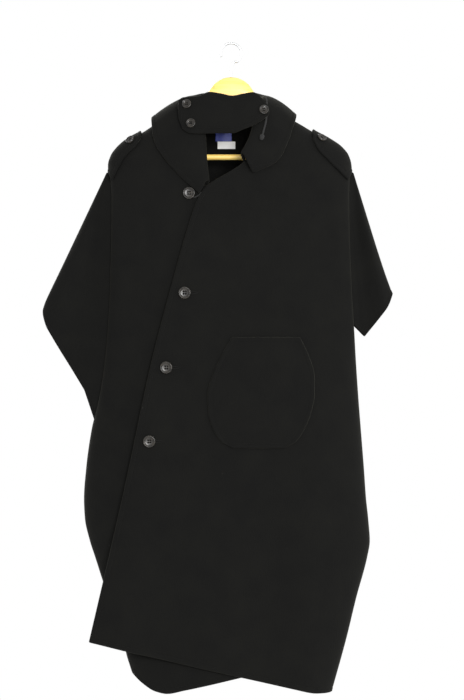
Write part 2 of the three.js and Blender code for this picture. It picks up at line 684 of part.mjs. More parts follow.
// A dished button with a raised rim, set on a point of the cloth
const buttonProfile = [
  { radius: 0.9, height: 0 },
  { radius: 1, height: 0.35 },
  { radius: 0.97, height: 0.85 },
  { radius: 0.84, height: 1 },
  { radius: 0.68, height: 0.66 },
];
function button(size, place, normal, lift) {
  const turn = new THREE.Quaternion().setFromUnitVectors(new THREE.Vector3(0, 0, 1), normal);
  const rings = buttonProfile.map((row) =>
    around(buttonSides).map((a) => {
      const r = row.radius * size.radius;
      const point = new THREE.Vector3(r * Math.cos(a), r * Math.sin(a), row.height * size.height + lift);
      return point.applyQuaternion(turn).add(place);
    }),
  );
  return loft(rings);
}
// Outward normal of a surface given as a function of two parameters
function surfaceNormal(point, a, b, stepA, stepB) {
  const along = point(a, b - stepB).sub(point(a, b + stepB));
  const across = point(a + stepA, b).sub(point(a - stepA, b));
  return along.cross(across).normalize();
}
const frontButtons = [
  { name: "front_button_1", x: -80, z: -290, on: underPoint },
  { name: "front_button_2", x: -88, z: -480, on: overPoint },
  { name: "front_button_3", x: -123, z: -622, on: overPoint },
  { name: "front_button_4", x: -155, z: -762, on: overPoint },
];
const tabButtons = [
  { name: "tab_button_1", x: -84, z: -121 },
  { name: "tab_button_2", x: -76, z: -158 },
  { name: "tab_button_3", x: 62, z: -133 },
];
const buttonLift = 0.8;

// The hanger: arms with an oval section, swept out from the dome in the middle
const hanger = columnsOf(hangerSections, "x", ["top", "height", "thickness"]);
const hangerRound = 2.6;
function hangerBody() {
  const reach = hangerSections.at(-1).x;
  const halves = hangerSections.map((row) => row.x);
  const stations = [...halves.slice(1).reverse().map((x) => -x), ...halves];
  const rings = stations.map((x) =>
    around(hangerSides).map((a) => {
      const at = Math.abs(x);
      const [c, d] = [Math.cos(a), Math.sin(a)];
      const y = (hanger.thickness(at) / 2) * Math.sign(c) * Math.abs(c) ** (2 / hangerRound);
      const up = (hanger.height(at) / 2) * Math.sign(d) * Math.abs(d) ** (2 / hangerRound);
      return new THREE.Vector3(x, y, hanger.top(at) - hanger.height(at) / 2 + up);
    }),
  );
  return cut(loft(rings), dowel(barRadius + seamGap, Math.min(barHalfLength + seamGap, reach)));
}
function dowel(radius, halfLength) {
  const rings = [-halfLength, halfLength].map((x) =>
    around(barSides).map((a) => {
      return new THREE.Vector3(x, radius * Math.cos(a), barHeight + radius * Math.sin(a));
    }),
  );
  return loft(rings);
}

// Wire and cord: a round section swept along a smooth curve
function rod(radius, points, steps) {
  const section = new THREE.Shape();
  around(wireSides).forEach((a, i) => {
    const [x, y] = [radius * Math.cos(a), radius * Math.sin(a)];
    if (i === 0) section.moveTo(x, y);
    else section.lineTo(x, y);
  });
  section.closePath();
  const extrudePath = new THREE.CatmullRomCurve3(points.map((p) => new THREE.Vector3(...p)));
  return new THREE.ExtrudeGeometry(section, { steps, extrudePath, bevelEnabled: false });
}
const hookArc = { from: -50, to: 200, steps: 12 };
const hookStem = [
  [0, 0, hangerTop + seamGap],
  [0, 0, hangerTop + 12],
  [1, 0, hangerTop + 21],
  [6, 0, hangerTop + 29],
];
function hangerHook() {
  const middle = hookWire - hookRadius;
  const arc = spread(hookArc.steps).map((t) => {
    const a = mix(hookArc.from, hookArc.to, t) * radians;
    return [hookRadius * Math.cos(a), 0, middle + hookRadius * Math.sin(a)];
  });
  return rod(hookWire, [...hookStem, ...arc], hookSteps);
}
const knotProfile = [
  { along: 0, radius: 0.5 },
  { along: 0.2, radius: 0.95 },
  { along: 0.55, radius: 1 },
  { along: 0.85, radius: 0.75 },
  { along: 1, radius: 0.4 },
];
function cordKnot() {
  const end = new THREE.Vector3(...cordRoute.at(-1));
  const way = end.clone().sub(new THREE.Vector3(...cordRoute.at(-2))).normalize();
  const turn = new THREE.Quaternion().setFromUnitVectors(new THREE.Vector3(0, 0, 1), way);
  const rings = knotProfile.map((row) =>
    around(knotSides).map((a) => {
      const r = row.radius * knot.radius;
      const along = seamGap + row.along * knot.length;
      return new THREE.Vector3(r * Math.cos(a), r * Math.sin(a), along).applyQuaternion(turn).add(end);
    }),
  );
  return loft(rings);
}

const group = new THREE.Group();
group.name = "wool_cloak_on_hanger";
function add(name, geometry, material) {
  const mesh = new THREE.Mesh(geometry, material.clone());
  mesh.name = name;
  group.add(mesh);
}
add("left_front", overFront(), materials.wool);
add("right_front", underFront(), materials.wool);
add("back_panel", backPanel(), materials.wool);
add("right_sleeve", sleeve(rightSleeve), materials.wool);
add("left_sleeve", sleeve(leftSleeve), materials.wool);
add("collar_stand", collarStand(), materials.wool);
add("collar_leaf", collarLeaf(), materials.wool);
add("throat_tab", throatTab(), materials.wool);
add("right_epaulette", strap(straps.right), materials.wool);
add("left_epaulette", strap(straps.left), materials.wool);
add("patch_pocket", patchPocket(), materials.wool);
add("neck_label", label(labels.neck), materials.blueLabel);
add("size_label", label(labels.size), materials.whiteLabel);
for (const row of frontButtons) {
  const normal = surfaceNormal(row.on, row.x, row.z, normalStep, normalStep);
  add(row.name, button(frontButton, row.on(row.x, row.z), normal, buttonLift), materials.button);
}
for (const row of tabButtons) {
  const t = (row.z - tab.top(row.x)) / (tab.bottom(row.x) - tab.top(row.x));
  const across = (x, v) => tabPoint(x, -v);
  const normal = surfaceNormal(across, row.x, -t, normalStep, tabNormalStep);
  add(row.name, button(smallButton, tabPoint(row.x, t), normal, buttonLift), materials.button);
}
for (const [name, { button: row }] of Object.entries(straps)) {
  const normal = surfaceNormal(row.on, row.x, row.z, normalStep, normalStep);
  const lift = strapLift + doubleWall + buttonLift;
  add(`${name}_epaulette_button`, button(smallButton, row.on(row.x, row.z), normal, lift), materials.button);
}
add("draw_cord", rod(cordRadius, cordRoute, cordSteps), materials.cord);
add("cord_knot", cordKnot(), materials.cord);
add("hanger_body", hangerBody(), materials.wood);
add("trouser_bar", dowel(barRadius, barHalfLength), materials.wood);
add("hanger_hook", hangerHook(), materials.steel);

export default group;
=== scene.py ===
import math

import bpy
import numpy as np
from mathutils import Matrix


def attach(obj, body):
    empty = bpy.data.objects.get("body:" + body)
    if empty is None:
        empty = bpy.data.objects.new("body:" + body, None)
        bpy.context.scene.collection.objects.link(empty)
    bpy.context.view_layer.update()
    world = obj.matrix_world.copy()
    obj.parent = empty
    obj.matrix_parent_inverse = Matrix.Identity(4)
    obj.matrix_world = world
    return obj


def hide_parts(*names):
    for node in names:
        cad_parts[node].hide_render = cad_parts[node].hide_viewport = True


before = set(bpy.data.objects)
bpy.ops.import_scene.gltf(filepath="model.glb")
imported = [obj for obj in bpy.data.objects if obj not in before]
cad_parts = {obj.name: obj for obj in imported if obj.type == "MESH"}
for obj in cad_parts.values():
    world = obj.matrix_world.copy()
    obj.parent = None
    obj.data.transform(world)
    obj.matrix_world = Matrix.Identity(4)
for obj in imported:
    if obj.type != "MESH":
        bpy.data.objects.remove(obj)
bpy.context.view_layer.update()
print("frame loaded:", len(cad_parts), "solids")


# Small helpers. All sizes below are millimetres until a mesh is made.
def mix(a, b, t):
    return a + (b - a) * t


def smooth(t):  # 3t squared minus 2t cubed, held to 0..1
    t = np.clip(t, 0, 1)
    return t * t * (3 - 2 * t)


def bell(t):  # e to the power of minus t squared
    return np.exp(-np.asarray(t, float) ** 2)


def unit(v):
    return v / np.maximum(np.linalg.norm(v, axis=-1, keepdims=True), 1e-9)


def table(names, *rows):
    return [dict(zip(names.split(), row)) for row in rows]


# a cubic through a table's column, each slope the harmonic mean of the slopes beside it: no overshoot
def column(rows, key, value):
    at, out = np.array(sorted((row[key], row[value]) for row in rows), float).T
    rise = np.diff(out) / np.diff(at)
    before, after = np.r_[rise[0], rise], np.r_[rise, rise[-1]]
    total = np.where(before + after == 0, 1, before + after)
    tangent = np.where(before * after > 0, 2 * before * after / total, 0)

    def read(x):
        x = np.clip(x, at[0], at[-1])
        i = np.clip(np.searchsorted(at, x, "right") - 1, 0, len(at) - 2)
        width = at[i + 1] - at[i]
        u = (x - at[i]) / width
        ends = mix(out[i], out[i + 1], smooth(u))
        return ends + width * (tangent[i] * u * (1 - u) ** 2 - tangent[i + 1] * u * u * (1 - u))

    return read


# a centripetal Catmull-Rom curve through points, read at even steps from point to point
def curveThrough(points, count):
    p = np.asarray(points, float)
    p = np.vstack([2 * p[0] - p[1], p, 2 * p[-1] - p[-2]])
    gap = np.maximum(np.linalg.norm(np.diff(p, axis=0), axis=1), 1e-6) ** 0.5
    u = np.linspace(0, len(p) - 3, count)
    i = np.minimum(u.astype(int), len(p) - 4)
    t = (u - i)[:, None]
    d0, d1, d2 = (gap[i + k][:, None] for k in range(3))
    p0, p1, p2, p3 = (p[i + k] for k in range(4))
    leave = ((p1 - p0) / d0 - (p2 - p0) / (d0 + d1) + (p2 - p1) / d1) * d1
    arrive = ((p2 - p1) / d1 - (p3 - p1) / (d1 + d2) + (p3 - p2) / d2) * d1
    second, third = 3 * (p2 - p1) - 2 * leave - arrive, 2 * (p1 - p2) + leave + arrive
    return p1 + leave * t + second * t**2 + third * t**3


# Materials
def hexLinear(text):  # sRGB hex to linear
    c = np.array([int(text[i : i + 2], 16) for i in (1, 3, 5)]) / 255
    return (*np.where(c <= 0.04045, c / 12.92, ((c + 0.055) / 1.055) ** 2.4), 1)


def perMetre(mm):  # texture scale for a detail of that size
    return 1000 / mm


def addNode(tree, kind, settings=None, inputs=None):
    made = tree.nodes.new("ShaderNode" + kind)
    for name, value in (settings or {}).items():
        setattr(made, name, value)
    for name, value in (inputs or {}).items():
        if isinstance(value, bpy.types.NodeSocket):
            tree.links.new(value, made.inputs[name])
        else:
            made.inputs[name].default_value = value
    return made


def newMaterial(name):
    made = bpy.data.materials.new(name)
    made.use_nodes = True
    tree = made.node_tree
    shader = tree.nodes["Principled BSDF"]
    coords = addNode(tree, "TexCoord").outputs["Object"]
    return made, tree, shader, coords


def setShader(tree, shader, inputs):
    for name, value in inputs.items():
        if isinstance(value, bpy.types.NodeSocket):
            tree.links.new(value, shader.inputs[name])
        else:
            shader.inputs[name].default_value = value


def blendColours(tree, share, low, high):
    made = addNode(tree, "Mix", {"data_type": "RGBA"}, {0: share})
    for socket, value in ((6, low), (7, high)):
        if isinstance(value, bpy.types.NodeSocket):
            tree.links.new(value, made.inputs[socket])
        else:
            made.inputs[socket].default_value = hexLinear(value)
    return made.outputs[2]


# heavy melton wool, fulled and cropped: fibres felted into a dull nap that pales only at grazing light
def meltonWool():
    look = {"dark": "#080808", "light": "#0f0f0d", "fibre": 1.1, "cloud": 45, "nap": 2.6, "lint": 5.5}
    made, tree, shader, coords = newMaterial("fulledMeltonWool")
    fibre = addNode(tree, "TexNoise", {}, {"Vector": coords, "Scale": perMetre(look["fibre"]), "Detail": 3})
    cloud = addNode(tree, "TexNoise", {}, {"Vector": coords, "Scale": perMetre(look["cloud"]), "Detail": 4})
    both = addNode(tree, "Math", {"operation": "MULTIPLY_ADD"}, {0: cloud.outputs[0], 1: 0.55})
    tree.links.new(fibre.outputs[0], both.inputs[2])
    share = addNode(tree, "MapRange", {}, {"Value": both.outputs[0], "From Min": 0.5, "From Max": 1.05})
    wool = blendColours(tree, share.outputs[0], look["dark"], look["light"])
    # a few specks of lint, far apart
    speck = addNode(tree, "TexVoronoi", {}, {"Vector": coords, "Scale": perMetre(look["lint"])})
    grain = addNode(tree, "TexNoise", {}, {"Vector": coords, "Scale": perMetre(look["lint"] * 4)})
    near = addNode(tree, "MapRange", {}, {
        "Value": speck.outputs["Distance"], "From Min": 0.1, "From Max": 0.03})
    rare = addNode(tree, "MapRange", {}, {"Value": grain.outputs[0], "From Min": 0.7, "From Max": 0.74})
    lint = addNode(tree, "Math", {"operation": "MULTIPLY"}, {0: near.outputs[0], 1: rare.outputs[0]})
    colour = blendColours(tree, lint.outputs[0], wool, "#575652")
    lie = addNode(tree, "Mapping", {}, {"Vector": coords, "Scale": (1, 1, 0.35)})  # the nap lies downwards
    nap = addNode(tree, "TexNoise", {}, {
        "Vector": lie.outputs[0], "Scale": perMetre(look["nap"]), "Detail": 5})
    felt = addNode(tree, "Math", {"operation": "ADD"}, {0: nap.outputs[0], 1: fibre.outputs[0]})
    bump = addNode(tree, "Bump", {}, {"Strength": 0.5, "Distance": 0.0008, "Height": felt.outputs[0]})
    setShader(tree, shader, {
        "Base Color": colour, "Roughness": 0.95, "Specular IOR Level": 0.12, "Normal": bump.outputs[0],
        "Sheen Weight": 0.055, "Sheen Roughness": 0.4, "Sheen Tint": hexLinear("#c9c8b4"),
    })
    return made


# twisted polyester thread: dyed to the wool, a little smoother
def sewingThread():
    made, tree, shader, coords = newMaterial("twistedThread")
    ply = addNode(tree, "TexNoise", {}, {"Vector": coords, "Scale": perMetre(0.6)})
    colour = blendColours(tree, ply.outputs[0], "#0a0a09", "#161615")
    setShader(tree, shader, {"Base Color": colour, "Roughness": 0.85, "Specular IOR Level": 0.15})
    return made


# polyester button, moulded to look like horn: dark brown black with soft streaks and a polished face
def mouldedButton():
    made, tree, shader, coords = newMaterial("mouldedPolyesterButton")
    streak = addNode(tree, "Mapping", {}, {"Vector": coords, "Scale": (1, 1, 2.2), "Rotation": (0, 0.5, 0)})
    cloud = addNode(tree, "TexNoise", {}, {
        "Vector": streak.outputs[0], "Scale": perMetre(7), "Detail": 4, "Distortion": 0.8})
    share = addNode(tree, "MapRange", {}, {"Value": cloud.outputs[0], "From Min": 0.35, "From Max": 0.7})
    colour = blendColours(tree, share.outputs[0], "#080706", "#2b2721")
    fine = addNode(tree, "TexNoise", {}, {"Vector": coords, "Scale": perMetre(0.9)})
    rough = addNode(tree, "MapRange", {}, {"Value": fine.outputs[0], "To Min": 0.2, "To Max": 0.3})
    setShader(tree, shader, {
        "Base Color": colour, "Roughness": rough.outputs[0], "IOR": 1.5, "Specular IOR Level": 0.4})
    return made


# braided cotton cord: dull, with its strands in the geometry
def braidedCord():
    made, tree, shader, coords = newMaterial("braidedCottonCord")
    strand = addNode(tree, "TexNoise", {}, {"Vector": coords, "Scale": perMetre(0.8), "Detail": 3})
    colour = blendColours(tree, strand.outputs[0], "#070707", "#111110")
    bump = addNode(tree, "Bump", {}, {"Strength": 0.4, "Distance": 0.0003, "Height": strand.outputs[0]})
    setShader(tree, shader, {
        "Base Color": colour, "Roughness": 0.85, "Sheen Weight": 0.04, "Normal": bump.outputs[0]})
    return made


# woven label: fine cross threads, a satin face on the coloured one
def wovenLabel(name, dark, light, rough):
    made, tree, shader, coords = newMaterial(name)
    perWave = 6.28  # a wave texture repeats this often in one unit
    weft = addNode(tree, "TexWave", {"bands_direction": "Z"}, {
        "Vector": coords, "Scale": perMetre(0.9) / perWave})
    warp = addNode(tree, "TexWave", {"bands_direction": "X"}, {
        "Vector": coords, "Scale": perMetre(0.7) / perWave})
    cross = addNode(tree, "Math", {"operation": "MULTIPLY"}, {0: weft.outputs[1], 1: warp.outputs[1]})
    colour = blendColours(tree, cross.outputs[0], dark, light)
    bump = addNode(tree, "Bump", {}, {"Strength": 0.3, "Distance": 0.0002, "Height": cross.outputs[0]})
    setShader(tree, shader, {"Base Color": colour, "Roughness": rough, "Normal": bump.outputs[0]})
    return made


# lacquered beech: pale yellow wood with long faint streaks and short dark flecks along the arm
def lacqueredBeech():
    made, tree, shader, coords = newMaterial("lacqueredBeech")
    along = addNode(tree, "Mapping", {}, {"Vector": coords, "Scale": (0.07, 1, 1)})
    streak = addNode(tree, "TexNoise", {}, {
        "Vector": along.outputs[0], "Scale": perMetre(5), "Detail": 6, "Distortion": 0.5})
    share = addNode(tree, "MapRange", {}, {"Value": streak.outputs[0], "From Min": 0.35, "From Max": 0.68})
    wood = blendColours(tree, share.outputs[0], "#f6d975", "#e8b95c")
    fleckAlong = addNode(tree, "Mapping", {}, {"Vector": coords, "Scale": (0.16, 1, 1)})
    fleck = addNode(tree, "TexNoise", {}, {
        "Vector": fleckAlong.outputs[0], "Scale": perMetre(1), "Detail": 2})
    dark = addNode(tree, "MapRange", {}, {"Value": fleck.outputs[0], "From Min": 0.62, "From Max": 0.78})
    colour = blendColours(tree, dark.outputs[0], wood, "#cfa25c")
    bump = addNode(tree, "Bump", {}, {"Strength": 0.15, "Distance": 0.0003, "Height": fleck.outputs[0]})
    setShader(tree, shader, {
        "Base Color": colour, "Roughness": 0.42, "Coat Weight": 0.35, "Coat Roughness": 0.18,
        "Normal": bump.outputs[0]})
    return made


# bright plated steel wire with faint drawing marks
def platedWire():
    made, tree, shader, coords = newMaterial("platedSteelWire")
    marks = addNode(tree, "TexNoise", {}, {"Vector": coords, "Scale": perMetre(1.2), "Detail": 4})
    rough = addNode(tree, "MapRange", {}, {"Value": marks.outputs[0], "To Min": 0.14, "To Max": 0.3})
    colour = blendColours(tree, marks.outputs[0], "#b9bbbd", "#dfe1e2")
    setShader(tree, shader, {"Base Color": colour, "Metallic": 1, "Roughness": rough.outputs[0]})
    return made


def paleFloor():
    made, tree, shader, coords = newMaterial("paintedFloor")
    cloud = addNode(tree, "TexNoise", {}, {"Vector": coords, "Scale": perMetre(400)})
    colour = blendColours(tree, cloud.outputs[0], "#ecebe8", "#f4f3f1")
    setShader(tree, shader, {"Base Color": colour, "Roughness": 0.8})
    return made


wool = meltonWool()
thread = sewingThread()
horn = mouldedButton()
cordCotton = braidedCord()
blueSatin = wovenLabel("wovenSatinLabel", "#16267c", "#3448b0", 0.45)
whiteTape = wovenLabel("wovenTapeLabel", "#f2f2ef", "#ffffff", 0.8)
beech = lacqueredBeech()
steel = platedWire()
print("materials made")


# Camera at the photograph's angle: one pixel is mmPerPixel on the plane of the cloth's front
photoView = {"mmPerPixel": 1.9, "height": 700, "plane": -60, "distance": 4500, "aimX": 1.9, "aimZ": -588.7}


def makeCamera(view):
    data = bpy.data.cameras.new("photoCamera")
    reach = view["distance"] + view["plane"]
    data.lens = data.sensor_width * reach / (view["height"] * view["mmPerPixel"])
    camera = bpy.data.objects.new("photoCamera", data)
    camera.location = np.array([view["aimX"], -view["distance"], view["aimZ"]]) / 1000
    camera.rotation_euler = (math.pi / 2, 0, 0)
    bpy.context.collection.objects.link(camera)
    bpy.context.scene.camera = camera


# soft light: a white room with three broad panels, places in metres
lamps = table(
    "name place aim size power",
    ("keyPanel", (0.9, -3.8, 0.2), (0, 0, -0.5), 1.4, 150),
    ("sidePanel", (2.8, -0.9, 0.0), (0, 0, -0.7), 1.8, 24),
    ("backPanelLight", (-1.5, 2.8, 0.9), (0, 0, -0.6), 2.0, 80),
)


def makeLight(row):
    data = bpy.data.lights.new(row["name"], "AREA")
    data.energy, data.size = row["power"], row["size"]
    lamp = bpy.data.objects.new(row["name"], data)
    way = np.array(row["aim"]) - np.array(row["place"])
    lamp.location = row["place"]
    lamp.rotation_euler = (
        math.pi / 2 + math.atan2(way[2], math.hypot(way[0], way[1])), 0, math.atan2(-way[0], way[1]))
    bpy.context.collection.objects.link(lamp)


def makeRoom(strength):
    world = bpy.data.worlds.new("whiteRoom")
    world.use_nodes = True
    world.node_tree.nodes["Background"].inputs["Color"].default_value = hexLinear("#ffffff")
    world.node_tree.nodes["Background"].inputs["Strength"].default_value = strength
    bpy.context.scene.world = world
    bpy.context.scene.view_settings.view_transform = "Standard"


makeCamera(photoView)
for row in lamps:
    makeLight(row)
makeRoom(1.0)
print("camera and light set")


# Meshes from grids
def gridNormals(grid):  # cross product of the steps down the rows and along them
    return unit(np.cross(np.gradient(grid, axis=0), np.gradient(grid, axis=1)))


# faces turned so that the volume inside them is positive, seen from their own middle
def outward(points, quads, caps=()):
    corner = (points - points.mean(0))[quads]
    halves = np.cross(corner[:, 1], corner[:, 2]) + np.cross(corner[:, 2], corner[:, 3])
    if np.sum(corner[:, 0] * halves) < 0:
        return points, quads[:, ::-1].tolist() + [cap[::-1] for cap in caps]
    return points, quads.tolist() + list(caps)


# a thin closed shell: the grid moved out and in along its normals, with a round lip all along its edge
def shell(grid, near, far):
    normal = gridNormals(grid)
    rows, columns = grid.shape[:2]
    outer = (grid + normal * np.broadcast_to(far, (rows, columns))[..., None]).reshape(-1, 3)
    inner = (grid + normal * np.broadcast_to(near, (rows, columns))[..., None]).reshape(-1, 3)
    number = np.arange(rows * columns).reshape(rows, columns)
    rim = np.concatenate([number[0, :-1], number[:-1, -1], number[-1, :0:-1], number[:0:-1, 0]])
    i, j = np.divmod(rim, columns)
    within = np.clip(i, 1, rows - 2) * columns + np.clip(j, 1, columns - 2)
    middle = (outer + inner) / 2
    half = np.linalg.norm(outer - inner, axis=1)[rim, None] / 2
    lip = middle[rim] + unit(middle[rim] - middle[within]) * half
    a = number[:-1, :-1].ravel()
    face = np.stack([a, a + columns, a + columns + 1, a + 1], 1)
    count, k = rows * columns, np.arange(len(rim))
    after = np.roll(k, -1)
    upperLip = np.stack([rim, rim[after], 2 * count + after, 2 * count + k], 1)
    lowerLip = np.stack([2 * count + k, 2 * count + after, rim[after] + count, rim + count], 1)
    quads = np.vstack([face, face[:, ::-1] + count, upperLip, lowerLip])
    return outward(np.vstack([outer, inner, lip]), quads)


# a closed body through rings of points, a flat cap at each end
def loft(rings):
    count, sides = rings.shape[:2]
    a = np.arange((count - 1) * sides).reshape(count - 1, sides)
    b = np.roll(a, -1, axis=1)
    quads = np.stack([a, b, b + sides, a + sides], -1).reshape(-1, 4)
    caps = [list(range(sides))[::-1], list(range((count - 1) * sides, count * sides))]
    return outward(rings.reshape(-1, 3), quads, caps)


# a round profile carried along a path: radius may change along it and round it
def tube(path, radius, sides, across):
    ahead = unit(np.gradient(path, axis=0))
    right = unit(np.cross(ahead, across))
    up = np.cross(right, ahead)
    angle = 2 * math.pi * np.arange(sides) / sides
    spoke = right[:, None] * np.cos(angle)[:, None] + up[:, None] * np.sin(angle)[:, None]
    size = np.broadcast_to(np.asarray(radius, float).reshape(-1, 1) if np.ndim(radius) == 1 else radius,
                           (len(path), sides))
    return loft(path[:, None] + spoke * size[..., None])


def join(parts):
    points, faces, start = [], [], 0
    for some, their in parts:
        points.append(some)
        faces += [[start + v for v in face] for face in their]
        start += len(some)
    return np.vstack(points), faces


def makePiece(name, part, finish, slotName, *replaced):
    points, faces = part
    mesh = bpy.data.meshes.new(name)
    mesh.from_pydata((np.asarray(points) / 1000).tolist(), [], faces)
    mesh.polygons.foreach_set("use_smooth", np.ones(len(faces), bool))
    mesh.materials.append(finish)
    mesh.update()
    piece = bpy.data.objects.new(name, mesh)
    bpy.context.collection.objects.link(piece)
    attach(piece, "root")
    if replaced:
        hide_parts(*replaced)
    return piece


# Sewing: stitches are short six-sided slips with pointed ends, laid in a row along a path
sewing = {"pitch": 4.2, "length": 3.1, "radius": 0.5, "inset": 7.5, "groove": 0.7, "grooveWidth": 1.5,
          "swell": 0.5}


def stitchRow(path, normal, style=sewing):
    step = np.r_[0, np.cumsum(np.linalg.norm(np.diff(path, axis=0), axis=1))]
    at = np.arange(style["pitch"] / 2, step[-1], style["pitch"])
    place = np.stack([np.interp(at, step, path[:, k]) for k in range(3)], 1)
    ahead = unit(np.stack([np.interp(at, step, np.gradient(path[:, k])) for k in range(3)], 1))
    up = unit(np.stack([np.interp(at, step, normal[:, k]) for k in range(3)], 1))
    side = np.cross(ahead, up)
    angle = np.arange(6) * math.pi / 3
    ring = (side[:, None] * np.cos(angle)[:, None] + up[:, None] * np.sin(angle)[:, None]) * style["radius"]
    half = ahead[:, None] * style["length"] / 2
    place = place[:, None]
    tips = np.concatenate([place - half, place + half], 1)
    points = np.concatenate([place - 0.7 * half + ring, place + 0.7 * half + ring, tips], 1)
    k = np.arange(6)
    n = (k + 1) % 6
    sides = np.stack([k, n, n + 6, k + 6], 1).tolist()
    ends = np.vstack([np.stack([n, k, k * 0 + 12], 1), np.stack([k + 6, n + 6, k * 0 + 13], 1)]).tolist()
    faces = [[14 * i + v for v in face] for i in range(len(at)) for face in sides + ends]
    return points.reshape(-1, 3), faces


# relief of a sewn edge against the distance in from it: a soft swell, then the groove of the stitching
def sewnEdge(distance, style=sewing):
    swell = style["swell"] * smooth((style["inset"] + 3 - distance) / 4)
    return swell - style["groove"] * bell((distance - style["inset"]) / style["grooveWidth"])


# steps in from an edge that are fine enough for its stitching
edgeSteps = np.array([0, 1.2, 2.4, 3.8, 5.2, 6.4, 7.5, 8.6, 9.8, 11.4, 14, 18])


# The body: level sections of the hanging cloak
bodySections = table(
    "z rightSide leftSide front back rightOpen leftOpen",
    (-127, -92, 81, 44, 46, 0, 0),
    (-142, -125, 110, 47, 47, 0, 0),
    (-155, -147, 134, 49, 48, 0, 0),
    (-170, -170, 159, 51, 49, 0, 0),
    (-185, -197, 187, 53, 50, 0, 0),
    (-200, -215, 209, 54, 51, 0, 0),
    (-216, -227, 222, 55, 52, 0, 0),
    (-233, -232, 227, 56, 53, 0, 0),
    (-250, -232, 228, 57, 54, 8, 8),
    (-300, -229, 226, 60, 56, 22, 22),
    (-468, -232, 231, 64, 60, 24, 24),
    (-545, -236, 236, 66, 61, 24, 18),
    (-620, -243, 241, 68, 62, 22, 3),
    (-690, -255, 246, 69, 63, 16, 0),
    (-741, -268, 250, 70, 64, 5, 0),
    (-817, -279, 256, 72, 66, 0, 0),
    (-874, -283, 260, 73, 67, 2, 0),
    (-912, -281, 264, 74, 68, 6, 1),
    (-955, -271, 267, 75, 68, 12, 5),
    (-985, -261, 262, 76, 69, 15, 9),
    (-1064, -235, 240, 77, 70, 24, 19),
    (-1140, -210, 221, 78, 71, 28, 26),
    (-1250, -174, 190, 79, 72, 32, 32),
)
body = {name: column(bodySections, "z", name) for name in bodySections[0] if name != "z"}
cloth = {"wall": 2.7, "double": 4, "sideSeam": 0.3, "lap": 7, "squareness": 3.4, "overReach": 400,
         "neck": -127}

overEdge = table(
    "z x", (-127, 70), (-160, 62), (-190, 52), (-215, 38), (-232, 24), (-285, -53), (-366, -84),
    (-437, -104), (-613, -150), (-848, -200), (-1142, -268))
underEdge = table(
    "z x", (-127, -82), (-160, -74), (-190, -66), (-230, -58), (-285, -48), (-330, 10), (-420, 36),
    (-900, 84), (-1190, 112))
overEdgeX, underEdgeX = column(overEdge, "z", "x"), column(underEdge, "z", "x")
hems = {
    "over": column(table("x z", (-268, -1142), (130, -1231), (172, -1239), (192, -1240)), "x", "z"),
    "under": column(table(
        "x z", (-205, -1166), (-190, -1197), (-170, -1223), (-150, -1236), (-128, -1240), (-90, -1233),
        (112, -1188)), "x", "z"),
    "back": column(table(
        "x z", (-206, -1120), (-186, -1165), (-150, -1190), (-90, -1200), (90, -1200), (150, -1190),
        (186, -1165), (206, -1120)), "x", "z"),
}
hemLevel = {"over": -1200, "under": -1215, "back": -1180}

# the largest folds, from the shoulder to the hem
frontFolds = table(
    "topX hemX halfWidth height start",
    (-150, -205, 42, 7, -420), (40, -40, 60, 5, -620), (165, 150, 46, 8, -520))
backFolds = table(
    "topX hemX halfWidth height start",
    (-130, -150, 44, 10, -380), (-20, -30, 50, 12, -420), (105, 115, 46, 11, -360))
foldHem = -1200

# creases: short soft troughs (depth below 0) and ridges, each along a bowed line
frontCreases = table(
    "fromX fromZ toX toZ width depth bow",
    (52, -232, 108, -246, 7, -2.2, 3),
    (30, -276, 92, -292, 9, -1.8, -4),
    (-52, -516, -118, -552, 8, -2.4, 3),
    (-110, -640, -30, -690, 13, -1.5, 6),
    (-62, -330, 30, -420, 16, -1.4, -8),
    (150, -262, 196, -420, 14, -2.0, 8),
    (200, -300, 214, -560, 9, 1.4, 4),
    (-215, -268, -206, -520, 10, 1.6, -4),
    (-150, -300, -190, -470, 15, -1.8, 6),
    (120, -800, 196, -900, 18, -1.9, -8),
    (-20, -860, 60, -905, 17, -1.3, 6),
    (-168, -880, -110, -950, 15, -1.5, -6),
    (180, -960, 150, -1130, 15, -1.8, 6),
    (-40, -1010, 20, -1150, 18, -1.4, -8),
)
backCreases = table(
    "fromX fromZ toX toZ width depth bow",
    (-34, -196, -40, -330, 7, -3.0, 3),
    (-14, -200, -16, -360, 8, 2.6, -3),
    (8, -198, 6, -340, 7, -2.8, 2),
    (26, -202, 34, -320, 8, 2.2, 3),
    (-150, -270, -110, -400, 15, -2.2, 8),
    (142, -262, 118, -430, 16, -2.4, -8),
    (-70, -470, 10, -520, 18, -1.8, 7),
    (60, -640, 140, -700, 18, -1.9, -8),
    (-190, -700, -120, -770, 16, -1.7, 6),
    (-60, -880, 30, -930, 19, -1.6, -7),
    (120, -930, 170, -1080, 15, -1.9, 6),
    (-170, -960, -150, -1110, 14, -1.8, -5),
)


# sum of bell-shaped ridges, each straight from its top to the hem and rising along the way
def foldHeight(folds, x, z):
    total = np.zeros(np.broadcast(x, z).shape)
    for fold in folds:
        along = np.clip((fold["start"] - z) / (fold["start"] - foldHem), 0, 1)
        across = (x - mix(fold["topX"], fold["hemX"], along)) / fold["halfWidth"]
        total = total + fold["height"] * smooth(along) * bell(across)
    return total


